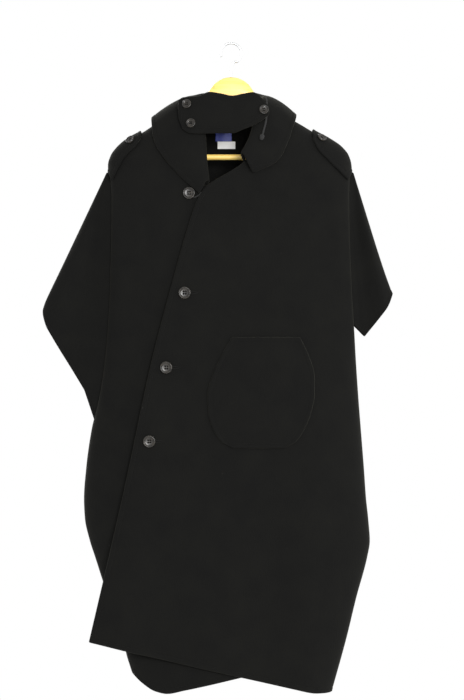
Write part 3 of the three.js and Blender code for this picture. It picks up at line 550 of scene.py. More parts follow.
# each crease: depth times a bell across its line, faded at both ends, with a weaker swell along one side
def creaseHeight(creases, x, z):
    total = np.zeros(np.broadcast(x, z).shape)
    for crease in creases:
        run = np.array([crease["toX"] - crease["fromX"], crease["toZ"] - crease["fromZ"]], float)
        length = np.hypot(*run)
        along = ((x - crease["fromX"]) * run[0] + (z - crease["fromZ"]) * run[1]) / length**2
        across = ((x - crease["fromX"]) * -run[1] + (z - crease["fromZ"]) * run[0]) / length
        across = (across - crease["bow"] * 4 * along * (1 - along)) / crease["width"]
        fade = smooth(along / 0.35) * smooth((1 - along) / 0.35)
        total = total + crease["depth"] * fade * (bell(across) - 0.4 * bell((across - 2) / 1.3))
    return total


def middleAndHalf(panel, side, z):  # the section's middle, and its half-width on that side
    right, left = body["rightSide"](z), body["leftSide"](z)
    middle = (right + left) / 2
    rightHalf = cloth["overReach"] if panel == "over" else middle - right
    return middle, np.where(side < 0, rightHalf, left - middle)


# a panel's outer face: x goes with share, y falls off as a superellipse's depth, with folds and creases on it
def panelPoint(panel, share, z):
    share, z = np.broadcast_arrays(np.clip(share, -1, 1), z)
    middle, half = middleAndHalf(panel, share, z)
    x = middle + half * share
    opened = mix(body["rightOpen"](z), body["leftOpen"](z), (share + 1) / 2)
    depth = body["back"](z) if panel == "back" else body["front"](z) - cloth["lap"] * (panel == "under")
    full = np.sqrt(np.maximum(0, 1 - np.abs(share) ** cloth["squareness"]))
    relief = (foldHeight(backFolds, x, z) + creaseHeight(backCreases, x, z)) if panel == "back" else (
        foldHeight(frontFolds, x, z) + creaseHeight(frontCreases, x, z))
    y = opened + cloth["sideSeam"] + (depth - opened + relief) * full
    return np.stack([x, y if panel == "back" else -y, z], -1)


def shareAt(panel, x, z):
    middle, _ = middleAndHalf(panel, 1, z)
    _, half = middleAndHalf(panel, x - middle, z)
    return np.clip((x - middle) / half, -1, 1)


def onPanel(panel):
    return lambda x, z: panelPoint(panel, shareAt(panel, x, z), z)


overPoint, underPoint, backPoint = onPanel("over"), onPanel("under"), onPanel("back")


# all round the body, turn in degrees with 0 in front
def bodyPoint(degrees, z):
    degrees, z = np.broadcast_arrays(np.asarray(degrees, float), z)
    turn = (degrees + 180) % 360 - 180
    bend = np.where(np.abs(turn) <= 90, turn, np.sign(turn) * (180 - np.abs(turn)))
    share = np.sign(bend) * np.abs(np.sin(np.radians(bend))) ** (2 / cloth["squareness"])
    front = np.where((turn < 0)[..., None], panelPoint("under", share, z), panelPoint("over", share, z))
    return np.where((np.abs(turn) <= 90)[..., None], front, panelPoint("back", share, z))


# outward normal of a face given as a function of two numbers, by small steps each way
def normalOf(point, a, b, stepA=3, stepB=3):
    down, along = point(a, b - stepB) - point(a, b + stepB), point(a + stepA, b) - point(a - stepA, b)
    return unit(np.cross(down, along))


# A panel's grid: level rows that take on the hem's slope, columns from edge to edge, closer at sewn edges
panels = {"slopeStart": -700, "rowStep": 5.2, "columns": 96}


def panelGrid(panel, leftEdgeX=None, rightEdgeX=None):
    level = hemLevel[panel]
    upper = np.arange(cloth["neck"], level + edgeSteps[-1], -panels["rowStep"])
    levels = np.r_[upper, level + edgeSteps[::-1]][:, None]
    slope = smooth((panels["slopeStart"] - levels) / (panels["slopeStart"] - level))

    def shares(z):
        z = np.broadcast_to(z, (len(levels), 1)) if np.ndim(z) == 0 else z
        start, end = -np.ones((len(levels), 1)), np.ones((len(levels), 1))
        if leftEdgeX is not None:
            start = shareAt(panel, leftEdgeX(z)[:, :1], z[:, :1])
        if rightEdgeX is not None:
            end = shareAt(panel, rightEdgeX(z)[:, -1:], z[:, -1:])
        return np.sin(mix(np.arcsin(start), np.arcsin(end), columnShare))

    columnShare = np.linspace(0, 1, panels["columns"])[None]
    fine = edgeSteps / 500  # share of the row taken by the steps at a sewn edge
    if leftEdgeX is not None:
        columnShare = np.r_[fine, np.linspace(fine[-1], 1, panels["columns"])[1:]][None]
    hemX = panelPoint(panel, shares(float(level)), np.full((len(levels), 1), level))[..., 0]
    z = levels + slope * (hems[panel](hemX) - level)
    return panelPoint(panel, shares(z), z)


def edgeRelief(grid, edgeX, hem):
    x, z = grid[..., 0], grid[..., 2]
    relief = sewnEdge(z - hem(x))
    if edgeX is not None:
        relief = np.where(x - edgeX(z) < z - hem(x), sewnEdge((x - edgeX(z)) * 0.97), relief)
    return relief


overGrid = panelGrid("over", leftEdgeX=overEdgeX)
underGrid = panelGrid("under", rightEdgeX=underEdgeX)
backGrid = panelGrid("back")[:, ::-1]
print("panel grids", overGrid.shape, underGrid.shape, backGrid.shape)

leftFront = makePiece(
    "leftFrontCloth", shell(overGrid, -cloth["wall"], edgeRelief(overGrid, overEdgeX, hems["over"])),
    wool, "wool", "left_front")
rightFront = makePiece(
    "rightFrontCloth", shell(underGrid, -cloth["wall"], edgeRelief(underGrid, None, hems["under"])),
    wool, "wool", "right_front")
backCloth = makePiece(
    "backCloth", shell(backGrid, -cloth["wall"], edgeRelief(backGrid, None, hems["back"])),
    wool, "wool", "back_panel")


def panelStitches():
    inset = sewing["inset"]
    z = np.linspace(-292, -1132, 400)
    x = np.linspace(-256, 178, 300)
    corner = np.linspace(-234, -280, 60)
    rows = [
        (overPoint, overEdgeX(z) + inset, z),
        (overPoint, overEdgeX(corner) + inset, corner),
        (overPoint, x, hems["over"](x) + inset),
    ]
    under = np.linspace(-196, 96, 240)
    rows.append((underPoint, under, hems["under"](under) + inset))
    parts = [stitchRow(point(a, b), normalOf(point, a, b)) for point, a, b in rows]
    behind = np.linspace(196, -196, 260)
    height = hems["back"](behind) + inset
    parts.append(stitchRow(backPoint(behind, height), -normalOf(backPoint, behind, height)))
    return join(parts)


panelSewing = makePiece("panelStitching", panelStitches(), thread, "wool")
print("body panels made")


# Cape sleeves: rows fan from the shoulder to the hem, each a U from the armhole round the outer fold and back
sleeveForm = {"foldShare": 0.4, "inset": 4, "rootGap": 0.9, "shoulderFull": 8, "rows": 96, "columns": 181,
              "fold": 1.25, "tipShare": 0.16, "roundStart": 24}
rightSleeveShape = {
    "side": -1, "foldTop": (-240, -248), "tip": (-368, -519), "rootTop": -250, "rootBottom": -728,
    "bulge": 22, "valley": 9, "cornerAt": 0.8, "cornerDrop": -22, "tipRise": 4, "tipRound": 6}
leftSleeveShape = {
    "side": 1, "foldTop": (236, -248), "tip": (311, -492), "rootTop": -250, "rootBottom": -535,
    "bulge": 20, "valley": 8, "cornerAt": 0.68, "cornerDrop": 40, "tipRise": 12, "tipRound": 0}
# drapes that run down from the shoulder: place across the layer, width and height
sleeveDrapes = table(
    "face across width height",
    (1, 0.34, 0.09, 1.8), (1, 0.82, 0.06, -1.6), (-1, 0.3, 0.08, 2.0), (-1, 0.62, 0.1, -2.2))


def sleeveGrid(shape):
    form = sleeveForm
    onRight = shape["side"] < 0
    rootX = body["rightSide" if onRight else "leftSide"]
    rootOpen = body["rightOpen" if onRight else "leftOpen"]
    down = np.linspace(0, 1, form["rows"])
    fine = 1 - edgeSteps[::-1] / (shape["rootTop"] - shape["rootBottom"])
    t = np.r_[down[down < fine[0] - 0.004], fine][:, None]
    s = np.linspace(-1, 1, form["columns"])[None]
    q = np.abs(s)
    rootZ = mix(shape["rootTop"], shape["rootBottom"], t)
    foldX, foldZ = (mix(shape["foldTop"][k], shape["tip"][k], t) for k in range(2))
    across = 1 - np.cos(q * math.pi / 2) ** form["fold"]
    corner = np.minimum(across / shape["cornerAt"], (1 - across) / (1 - shape["cornerAt"]))
    nearTip = (1 - np.clip(across / form["tipShare"], 0, 1)) ** 2
    rise = shape["tipRise"] * nearTip
    roundIn = shape["side"] * shape["tipRound"] * t ** form["roundStart"] * nearTip
    hem = t**5 * (rise - shape["cornerDrop"] * corner)
    inner = np.clip((q - form["foldShare"]) / (1 - form["foldShare"]), 0, 1)
    full = mix(form["shoulderFull"], shape["bulge"], smooth(t * 2))
    outside = full * np.sin(np.minimum(1, q / form["foldShare"]) * math.pi / 2)
    valley = shape["valley"] * smooth(t * 2) * np.sin(inner * math.pi) ** 2
    drape = sum(
        row["height"] * smooth(t * 1.6) * bell((q - row["across"]) / row["width"])
        * (np.sign(s) == -row["face"]) for row in sleeveDrapes)
    rootY = rootOpen(rootZ) + cloth["sideSeam"] - form["rootGap"]
    y = mix(outside, rootY, smooth(inner)) - valley + drape
    x = mix(foldX, rootX(rootZ) - shape["side"] * form["inset"], across) - roundIn
    z = mix(foldZ, rootZ, across) + hem
    return np.stack(np.broadcast_arrays(x, shape["side"] * np.sign(s) * y, z), -1)


# distance of every grid point from the grid's last row, along the columns
def fromLastRow(grid):
    step = np.linalg.norm(np.diff(grid, axis=0), axis=-1)[::-1]
    return np.vstack([np.zeros(grid.shape[1]), np.cumsum(step, axis=0)])[::-1]


# a row of stitches on a grid's outer face, at a distance in from its last row
def lastRowStitches(grid, far, inset, trim=(0, None)):
    face = grid + gridNormals(grid) * far
    distance = fromLastRow(grid)
    i = np.abs(distance - inset).argmin(0)
    j = np.arange(grid.shape[1])
    path = face[i, j][slice(*trim)]
    return stitchRow(path, gridNormals(grid)[i, j][slice(*trim)])


for name, node, shape in (("rightSleeveCloth", "right_sleeve", rightSleeveShape),
                          ("leftSleeveCloth", "left_sleeve", leftSleeveShape)):
    grid = sleeveGrid(shape)
    relief = sewnEdge(fromLastRow(grid))
    makePiece(name, shell(grid, -cloth["wall"], relief), wool, "wool", node)
    makePiece(name.replace("Cloth", "Stitching"), lastRowStitches(grid, 0, sewing["inset"]), thread, "wool")
print("cape sleeves made")


# The collar: a stand from the neckline's seam to the roll, and a leaf that turns over to its edge on the body
collarStations = table(
    "seam at roll face edgeX edgeZ lift",
    ("under", -281, (-44, -58, -270), "front", -60, -288, 2.2),
    ("under", -250, (-48, -57, -235), "front", -88, -263, 2.2),
    ("under", -205, (-51, -53, -185), "front", -122, -227, 2.2),
    ("under", -165, (-55, -43, -143), "front", -141, -198, 2.2),
    ("under", -139, (-59, -32, -124), "front", -147, -180, 2.2),
    ("neck", -52, (-64, -18, -114), "front", -146, -165, 7.5),
    ("neck", -88, (-67, 0, -108), "front", -144, -153, 11.5),
    ("neck", -112, (-63, 16, -102), "back", -134, -165, 7.5),
    ("neck", -132, (-50, 28, -97), "back", -112, -182, 2.2),
    ("neck", -156, (-30, 34, -98), "back", -64, -200, 2.2),
    ("neck", 180, (-5, 37, -103), "back", -10, -210, 2.2),
    ("neck", 156, (21, 34, -99), "back", 46, -200, 2.2),
    ("neck", 132, (40, 28, -96), "back", 92, -180, 2.2),
    ("neck", 112, (53, 16, -101), "back", 112, -160, 6.5),
    ("neck", 88, (57, 0, -108), "front", 120, -146.5, 9.5),
    ("neck", 52, (54, -18, -114), "front", 117, -158, 6.5),
    ("over", -139, (50, -36, -124), "front", 113, -173, 2.2),
    ("over", -165, (47, -48, -143), "front", 106, -193, 2.2),
    ("over", -200, (38, -58, -185), "front", 86, -228, 2.2),
    ("over", -229, (21, -64, -220), "front", 42, -250, 2.2),
)
collarForm = {"seamStep": 2.3, "neckGap": 0.6, "rollGap": 0.5, "rise": 15, "spread": 7, "ease": 13,
              "reach": 0.45, "columns": 240, "standRows": 14, "leafRows": 44, "leafGap": 0.2, "press": 0.6,
              "fineFrom": 0.86, "fall": 130}


def collarLines():
    at, edgeX, edgeZ, raised = (
        np.array([row[key] for row in collarStations], float) for key in ("at", "edgeX", "edgeZ", "lift"))
    seam, face = (np.array([row[key] for row in collarStations]) for key in ("seam", "face"))
    step = np.array([collarForm["seamStep"], 0, 0])
    height = np.clip(at, -300, cloth["neck"])
    seams = {
        "under": underPoint(underEdgeX(height), height) + step,
        "over": overPoint(overEdgeX(height), height) - step,
        "neck": bodyPoint(at, cloth["neck"]) + np.array([0, 0, collarForm["neckGap"]]),
    }
    seamLine = np.select([(seam == key)[:, None] for key in seams], list(seams.values()))
    share = np.where(face == "back", shareAt("back", edgeX, edgeZ),
                     np.where(edgeX < 0, shareAt("under", edgeX, edgeZ), shareAt("over", edgeX, edgeZ)))
    turn = np.degrees(np.sign(share) * np.arcsin(np.abs(share) ** (cloth["squareness"] / 2)))
    turn = np.where(face == "back", np.sign(turn) * 180 - turn, turn)
    lift = unit(np.cross(bodyPoint(turn, edgeZ - 1) - bodyPoint(turn, edgeZ + 1),
                         bodyPoint(turn + 1, edgeZ) - bodyPoint(turn - 1, edgeZ)))
    edgeLine = bodyPoint(turn, edgeZ) + lift * raised[:, None]
    rollLine = [row["roll"] for row in collarStations]
    return [curveThrough(line, collarForm["columns"]) for line in (seamLine, rollLine, edgeLine, lift)]


# the leaf is a cubic curve at every step round the neck: up from the roll, over, and down to its edge
def collarGrids():
    seam, roll, edge, lift = collarLines()
    t = np.linspace(0, 1, collarForm["standRows"])[:, None, None]
    stand = mix(seam, roll, t)
    top = roll + np.array([0, 0, collarForm["rollGap"]])
    away = unit(lift * np.array([1, 1, 0]))
    spring = top + np.array([0, 0, collarForm["rise"]]) + away * collarForm["spread"]
    ease = mix(edge, top, collarForm["reach"]) + lift * collarForm["ease"]
    fall = np.linspace(0, 1, collarForm["leafRows"])
    even = fall[fall < collarForm["fineFrom"]]
    u = np.r_[even, 1 - edgeSteps[::-1] / collarForm["fall"]][:, None, None]
    leaf = top * (1 - u) ** 3 + 3 * spring * u * (1 - u) ** 2 + 3 * ease * u**2 * (1 - u) + edge * u**3
    return stand, leaf[:, ::-1]


standGrid, leafGrid = collarGrids()
collarStand = makePiece(
    "collarStandCloth", shell(standGrid, -cloth["wall"], 0), wool, "wool", "collar_stand")
leafFace = cloth["double"] - collarForm["press"]
leafRelief = leafFace + sewnEdge(fromLastRow(leafGrid))
collarLeaf = makePiece(
    "collarLeafCloth", shell(leafGrid, collarForm["leafGap"], leafRelief), wool, "wool", "collar_leaf")
makePiece("collarStitching", lastRowStitches(leafGrid, leafFace, sewing["inset"]), thread, "wool")
print("collar made")


# The throat tab: height against width, leaning over the collar and bowed outwards
tabSections = table(
    "x top bottom y lean",
    (-100, -112, -148, -45, 10.9),
    (-92, -108, -167, -47, 15.4),
    (-78, -107, -175, -50, 15.9),
    (-62, -106, -176, -53.5, 14),
    (-42, -99, -176, -57.6, 12),
    (-20, -102, -176, -60, 11),
    (2, -106.5, -176, -61.8, 10),
    (22, -103, -169, -62.7, 9),
    (42, -100, -161, -63, 8),
    (55, -107, -154, -62, 8),
    (63, -116, -149, -61, 8),
    (71, -124, -142, -60, 7),
)
tab = {name: column(tabSections, "x", name) for name in ("top", "bottom", "y", "lean")}
tabForm = {"bow": 2, "rows": 46, "columns": 96, "width": 171, "height": 72, "wall": 3.6, "press": 0.3}


def tabPoint(x, t):
    y = tab["y"](x) - tab["lean"](x) * t - 4 * tabForm["bow"] * t * (1 - t)
    return np.stack(np.broadcast_arrays(x, y, mix(tab["top"](x), tab["bottom"](x), t)), -1)


# distance of every grid point from the nearest of the grid's four edges, measured along rows and columns
def fromEdges(grid, leaveOut=()):
    rows = {"last": fromLastRow(grid), "first": fromLastRow(grid[::-1])[::-1]}
    turned = grid.transpose(1, 0, 2)
    rows["right"] = fromLastRow(turned).T
    rows["left"] = fromLastRow(turned[::-1])[::-1].T
    return np.min([value for key, value in rows.items() if key not in leaveOut], axis=0)


# a ring of stitches inside the edges of a grid, or only along some sides: first row, right, last row, left
def ringStitches(grid, far, inset, sides=slice(None)):
    normal = gridNormals(grid)
    face = grid + normal * far
    down = np.linalg.norm(np.diff(grid, axis=0), axis=-1).sum(0)
    along = np.linalg.norm(np.diff(grid, axis=1), axis=-1).sum(1)
    rows, columns = grid.shape[:2]
    n = 160
    side = np.linspace(0, 1, n)
    a = np.r_[np.zeros(n), side, np.ones(n), 1 - side]  # down the grid
    b = np.r_[side, np.ones(n), 1 - side, np.zeros(n)]  # along it
    marginA = inset / np.interp(b * (columns - 1), np.arange(columns), down)
    marginB = inset / np.interp(a * (rows - 1), np.arange(rows), along)
    a = np.clip(a, marginA, 1 - marginA) * (rows - 1)
    b = np.clip(b, marginB, 1 - marginB) * (columns - 1)
    i, j = np.minimum(a.astype(int), rows - 2), np.minimum(b.astype(int), columns - 2)
    u, v = (a - i)[:, None], (b - j)[:, None]
    read = lambda g: mix(mix(g[i, j], g[i, j + 1], v), mix(g[i + 1, j], g[i + 1, j + 1], v), u)
    kept = np.arange(4 * n).reshape(4, n)[sides].ravel()
    return stitchRow(read(face)[kept], read(normal)[kept])


# shares along a length: the fine steps at both ends, even steps between them
def evenWithFineEnds(length, count):
    fine = edgeSteps / length
    return np.r_[fine, np.linspace(fine[-1], 1 - fine[-1], count)[1:-1], 1 - fine[::-1]]


tabAcross = evenWithFineEnds(tabForm["width"], tabForm["columns"])[None]
tabGrid = tabPoint(
    mix(tabSections[0]["x"], tabSections[-1]["x"], tabAcross),
    evenWithFineEnds(tabForm["height"], tabForm["rows"])[:, None])
tabRelief = sewnEdge(fromEdges(tabGrid)) - tabForm["press"]
throatTab = makePiece(
    "throatTabCloth", shell(tabGrid, -tabForm["wall"], tabRelief), wool, "wool", "throat_tab")
makePiece("throatTabStitching", ringStitches(tabGrid, -0.2, sewing["inset"]), thread, "wool")
print("throat tab made")


# Epaulettes: each row crosses the shoulder's ridge at a height and runs down the front to the lower edge
straps = {
    "rightEpaulette": {
        "node": "right_epaulette", "side": -1, "sideX": body["rightSide"], "on": underPoint,
        "restsOn": "rightFrontCloth",
        "edge": table("t ridge x z", (0, -171, -173, -192), (0.5, -197, -204, -220), (1, -247.2, -226, -262)),
        "button": (-190, -190)},
    "leftEpaulette": {
        "node": "left_epaulette", "side": 1, "sideX": body["leftSide"], "on": overPoint,
        "restsOn": "leftFrontCloth",
        "edge": table("t ridge x z", (0, -168, 157, -198), (0.5, -197, 190, -230), (1, -247.2, 222, -262)),
        "button": (171, -187)},
}
strapForm = {"lift": 1.5, "rows": 40, "columns": 44, "backX": 4, "backZ": 8, "middle": -0.6,
             "roundShare": 0.2, "roundStart": 0.15, "inset": 6, "length": 100, "width": 110}


# s squared goes from the ridge to the edge in front, s below 0, or a little way behind; the neck end is round
def strapGrid(shape):
    form = strapForm
    t = evenWithFineEnds(form["length"], form["rows"])[:, None]
    s = shape["side"] * (2 * evenWithFineEnds(form["width"], form["columns"])[None] - 1)
    narrow = 1 - np.minimum(1, form["roundStart"] + t / form["roundShare"])
    s = form["middle"] + (s - form["middle"]) * np.sqrt(1 - narrow**2)
    ridgeZ, frontX, frontZ = (column(shape["edge"], "t", key)(t) for key in ("ridge", "x", "z"))
    ridgeX = shape["sideX"](ridgeZ)
    x = mix(ridgeX, np.where(s < 0, frontX, ridgeX - shape["side"] * form["backX"]), s**2)
    z = mix(ridgeZ, np.where(s < 0, frontZ, ridgeZ - form["backZ"]), s**2)
    return np.where((s < 0)[..., None], shape["on"](x, z), backPoint(x, z))


for name, shape in straps.items():
    grid = strapGrid(shape)
    face = strapForm["lift"] + cloth["double"] - 0.5
    relief = face + sewnEdge(fromEdges(grid)) * 0.8
    strip = shell(grid, strapForm["lift"] - 0.8, relief)
    piece = makePiece(name + "Cloth", strip, wool, "wool", shape["node"])
    makePiece(name + "Stitching", ringStitches(grid, face + 0.1, strapForm["inset"]), thread, "wool")
print("epaulettes made")


# The patch pocket on the left front, a little full in its middle
pocketSections = table(
    "z start end", (-566, 2, 130), (-600, -17, 146), (-640, -35, 157), (-672, -43, 157), (-705, -42, 151),
    (-738, -33, 138), (-762, -18, 122), (-774, 4, 102))
pocketForm = {"lift": 0.7, "full": 2.2, "fullFrom": 70, "rows": 60, "columns": 60, "secondRow": 16,
              "height": 208, "width": 180}
pocketStart, pocketEnd = column(pocketSections, "z", "start"), column(pocketSections, "z", "end")


def pocketGrid():
    down = evenWithFineEnds(pocketForm["height"], pocketForm["rows"])[:, None]
    z = mix(pocketSections[0]["z"], pocketSections[-1]["z"], down)
    s = evenWithFineEnds(pocketForm["width"], pocketForm["columns"])[None]
    return overPoint(mix(pocketStart(z), pocketEnd(z), s), np.broadcast_to(z, (z.shape[0], s.shape[1])))


grid = pocketGrid()
inward = fromEdges(grid)
bulge = pocketForm["full"] * smooth(inward / pocketForm["fullFrom"])
pocketFace = pocketForm["lift"] + cloth["wall"]
patch = shell(grid, pocketForm["lift"] - 0.5, pocketFace + bulge + sewnEdge(inward))
pocket = makePiece("patchPocketCloth", patch, wool, "wool", "patch_pocket")
pocketThread = join([
    ringStitches(grid, pocketFace, sewing["inset"]),
    ringStitches(grid, pocketFace + 0.2, pocketForm["secondRow"], slice(2, 3))])  # along the bottom only
makePiece("patchPocketStitching", pocketThread, thread, "wool")
print("pocket made")


# Labels inside the back of the neck, bare
labels = table(
    "name node start end top bottom finish slot",
    ("neckLabelWeave", "neck_label", -30, 1, -162, -182.6, blueSatin, "blue_label"),
    ("sizeLabelWeave", "size_label", -26, 8, -183.2, -197, whiteTape, "white_label"),
)
labelForm = {"lift": -cloth["wall"] - 0.8, "wall": 0.7, "curl": 0.8, "rows": 24, "columns": 30}
for row in labels:
    z = np.linspace(row["top"], row["bottom"], labelForm["rows"])[:, None]
    s = np.linspace(0, 1, labelForm["columns"])[None]
    grid = backPoint(mix(row["end"], row["start"], s), z + 0 * s)
    curl = labelForm["curl"] * bell((s - 0.5) / 0.3) * np.ones_like(z)  # a small bulge off the cloth
    near = labelForm["lift"] - labelForm["wall"] - curl
    tape = shell(grid, near, near + labelForm["wall"])
    piece = makePiece(row["name"], tape, row["finish"], row["slot"], row["node"])
print("labels made")


# Buttons: a turned profile with a raised rim and dished face, four holes sunk into it
buttonSizes = {
    "front": {"radius": 11.7, "height": 4.2, "hole": 1.25, "holeAt": 3.0, "depth": 1.7},
    "small": {"radius": 9, "height": 3.6, "hole": 1.0, "holeAt": 2.3, "depth": 1.4},
}
buttonProfile = [(0.04, 0), (0.55, 0), (0.9, 0.02), (1, 0.32), (0.975, 0.8), (0.87, 1), (0.74, 0.8),
                 (0.62, 0.64), (0.45, 0.6), (0.3, 0.58), (0.15, 0.57), (0.02, 0.57)]
buttonTurn = {"sides": 72, "steps": 60, "lift": 0.5, "slant": 0.72}


def upright(normal):  # two directions across a normal, the first as level as can be
    level = unit(np.cross(np.array([0, 0, 1.0]), normal))
    return level, np.cross(normal, level)


# the profile turned about the normal; each hole takes depth times e to minus the sixth power of the distance
def buttonPart(size, place, normal, lift):
    profile = curveThrough(np.array(buttonProfile), buttonTurn["steps"])
    angle = 2 * math.pi * np.arange(buttonTurn["sides"]) / buttonTurn["sides"]
    radius = (profile[:, :1] * size["radius"]) * np.ones_like(angle)
    a, b = radius * np.cos(angle), radius * np.sin(angle)
    height = profile[:, 1:] * size["height"] * np.ones_like(angle)
    onFace = (np.arange(len(profile)) > len(profile) * 0.5)[:, None]
    off = size["holeAt"] * buttonTurn["slant"]
    for sx, sy in ((-1, -1), (-1, 1), (1, -1), (1, 1)):
        away = np.hypot(a - sx * off, b - sy * off) / size["hole"]
        height = height - np.where(onFace, size["depth"] * np.exp(-(away**6)), 0)
    level, rising = upright(normal)
    points = place + a[..., None] * level + b[..., None] * rising + (height + lift)[..., None] * normal
    return loft(points)


# thread through the holes: two bars side by side, each bowed out of its holes
def buttonThread(size, place, normal, lift):
    level, rising = upright(normal)
    t = np.linspace(-1, 1, 13)[:, None]
    parts = []
    for side in (-1, 1):
        for strand in (-0.4, 0.4):
            off = rising * (side * size["holeAt"] * buttonTurn["slant"] + strand)
            high = size["height"] * buttonProfile[-1][1] + 0.55 * (1 - t**4) - 0.25
            path = place + off + level * t * size["holeAt"] * 0.78 + normal * (high + lift)
            parts.append(tube(path, 0.42, 8, normal))
    return join(parts)


frontButtons = table(
    "name node x z on",
    ("frontButton1", "front_button_1", -80, -290, underPoint),
    ("frontButton2", "front_button_2", -88, -480, overPoint),
    ("frontButton3", "front_button_3", -123, -622, overPoint),
    ("frontButton4", "front_button_4", -155, -762, overPoint),
)
tabButtons = table(
    "name node x z",
    ("tabButton1", "tab_button_1", -84, -121),
    ("tabButton2", "tab_button_2", -76, -158),
    ("tabButton3", "tab_button_3", 62, -133),
)
placed = []
for row in frontButtons:
    normal = normalOf(row["on"], row["x"], row["z"], 4, 4)
    spot = row["on"](row["x"], row["z"])
    placed.append((row["name"], row["node"], "front", spot, normal, buttonTurn["lift"]))
for row in tabButtons:
    top, bottom = tab["top"](row["x"]), tab["bottom"](row["x"])
    t = (row["z"] - top) / (bottom - top)
    normal = normalOf(lambda x, v: tabPoint(x, -v), row["x"], -t, 4, 0.1)
    placed.append((row["name"], row["node"], "small", tabPoint(row["x"], t), normal, buttonTurn["lift"]))
for name, shape in straps.items():
    normal = normalOf(shape["on"], *shape["button"], 4, 4)
    lift = strapForm["lift"] + cloth["double"] + buttonTurn["lift"] - 0.3
    spot = shape["on"](*shape["button"])
    placed.append((name + "Button", shape["node"] + "_button", "small", spot, normal, lift))
threads = []
for name, node, kind, spot, normal, lift in placed:
    makePiece(name, buttonPart(buttonSizes[kind], spot, normal, lift), horn, "button", node)
    threads.append(buttonThread(buttonSizes[kind], spot, normal, lift))
makePiece("buttonThread", join(threads), thread, "wool")
print("buttons made:", len(placed))


# Buttonholes: a long ring of close stitches from behind each button towards the pocket
buttonholes = {"start": -4, "end": 25, "half": 1.7, "radius": 0.85, "ribs": 60, "points": 181}


def buttonholePart(x, z):
    around = np.linspace(0, 2 * math.pi, buttonholes["points"])
    middle = (buttonholes["start"] + buttonholes["end"]) / 2
    reach = (buttonholes["end"] - buttonholes["start"]) / 2
    across = np.sign(np.cos(around)) * np.abs(np.cos(around)) ** 0.6  # straight sides, round ends
    a = x + middle + reach * across
    b = z + buttonholes["half"] * np.sin(around)
    path = overPoint(a, b) + normalOf(overPoint, a, b) * 0.2
    ribs = buttonholes["radius"] * (1 + 0.16 * np.sin(around * buttonholes["ribs"]))
    return tube(path, ribs, 8, np.array([0, 1.0, 0]))


holes = join([buttonholePart(row["x"], row["z"]) for row in frontButtons[1:]])
makePiece("buttonholeStitching", holes, thread, "wool")

# a small cord loop from the left front's corner, round the top button's shank
loopRoute = [(-54, -279), (-61, -278), (-69, -280), (-78, -285), (-83, -290), (-79, -296), (-70, -298),
             (-62, -295), (-56, -289)]
loopForm = {"radius": 1.25, "lift": 1.4}


def loopPart():
    route = curveThrough(np.array([(x, z, 0) for x, z in loopRoute], float), 90)
    path = underPoint(route[:, 0], route[:, 1])
    path = path + normalOf(underPoint, route[:, 0], route[:, 1]) * loopForm["lift"]
    ends = smooth((np.abs(np.linspace(-1, 1, len(path))) - 0.55) / 0.45)[:, None]
    path = path + ends * np.array([0, -cloth["lap"] * 0.55, 0])  # rises to the over front at its two ends
    twist = loopForm["radius"] * (1 + 0.1 * np.sin(np.linspace(0, 90, len(path)))[:, None] * np.ones(10))
    return tube(path, twist, 10, np.array([0, 1.0, 0]))


makePiece("buttonLoop", loopPart(), cordCotton, "cord")
print("buttonholes and loop made")


# The drawcord's free end, with its braid as two crossing spirals, and the knot that ends it
cordForm = {"radius": 1.75, "points": 240, "sides": 20, "strand": 5.5, "ridge": 0.13}
cordRoute = [
    (66, -44, -108), (67.5, -48, -113), (68, -50, -120), (68.5, -55.2, -130), (68.2, -59, -138.5),
    (67.3, -61.6, -146), (66.3, -66, -154), (64.5, -69, -163), (62, -72.5, -172), (60, -74, -180)]
knotForm = {"radius": 4.5, "length": 11, "gap": 0.3, "rings": 60, "sides": 36, "turns": 3, "ridge": 0.07}
knotProfile = table("along radius", (0, 0.4), (0.08, 0.7), (0.25, 0.98), (0.55, 1), (0.85, 0.72), (1, 0.3))


def cordParts():
    path = curveThrough(cordRoute, cordForm["points"])
    far = np.r_[0, np.cumsum(np.linalg.norm(np.diff(path, axis=0), axis=1))][:, None]
    angle = 2 * math.pi * np.arange(cordForm["sides"]) / cordForm["sides"]
    turn = 2 * math.pi * far / cordForm["strand"]
    braid = np.maximum(np.abs(np.sin(2 * angle + turn)), np.abs(np.sin(2 * angle - turn)))
    sideways = np.array([1.0, 0, 0])
    thick = cordForm["radius"] * (1 - cordForm["ridge"] * (1 - braid))
    rope = tube(path, thick, cordForm["sides"], sideways)
    way = unit(path[-1] - path[-4])
    along = np.linspace(0, 1, knotForm["rings"])[:, None]
    width = column(knotProfile, "along", "radius")(along) * knotForm["radius"]
    sides = 2 * math.pi * np.arange(knotForm["sides"]) / knotForm["sides"]
    slant = sides + 2 * math.pi * knotForm["turns"] * along  # the turns of the knot lie aslant
    middle = path[-1] + way * (knotForm["gap"] + along * knotForm["length"])
    knot = tube(middle, width * (1 + knotForm["ridge"] * np.sin(slant)) * 0.96, knotForm["sides"], sideways)
    return path, far[-1, 0], rope, knot


path, cordLength, rope, knot = cordParts()
cordPiece = makePiece("drawCordBraid", rope, cordCotton, "cord", "draw_cord")
knotPiece = makePiece("drawCordKnot", knot, cordCotton, "cord", "cord_knot")
print(f"drawcord made, {cordLength:.0f} mm")


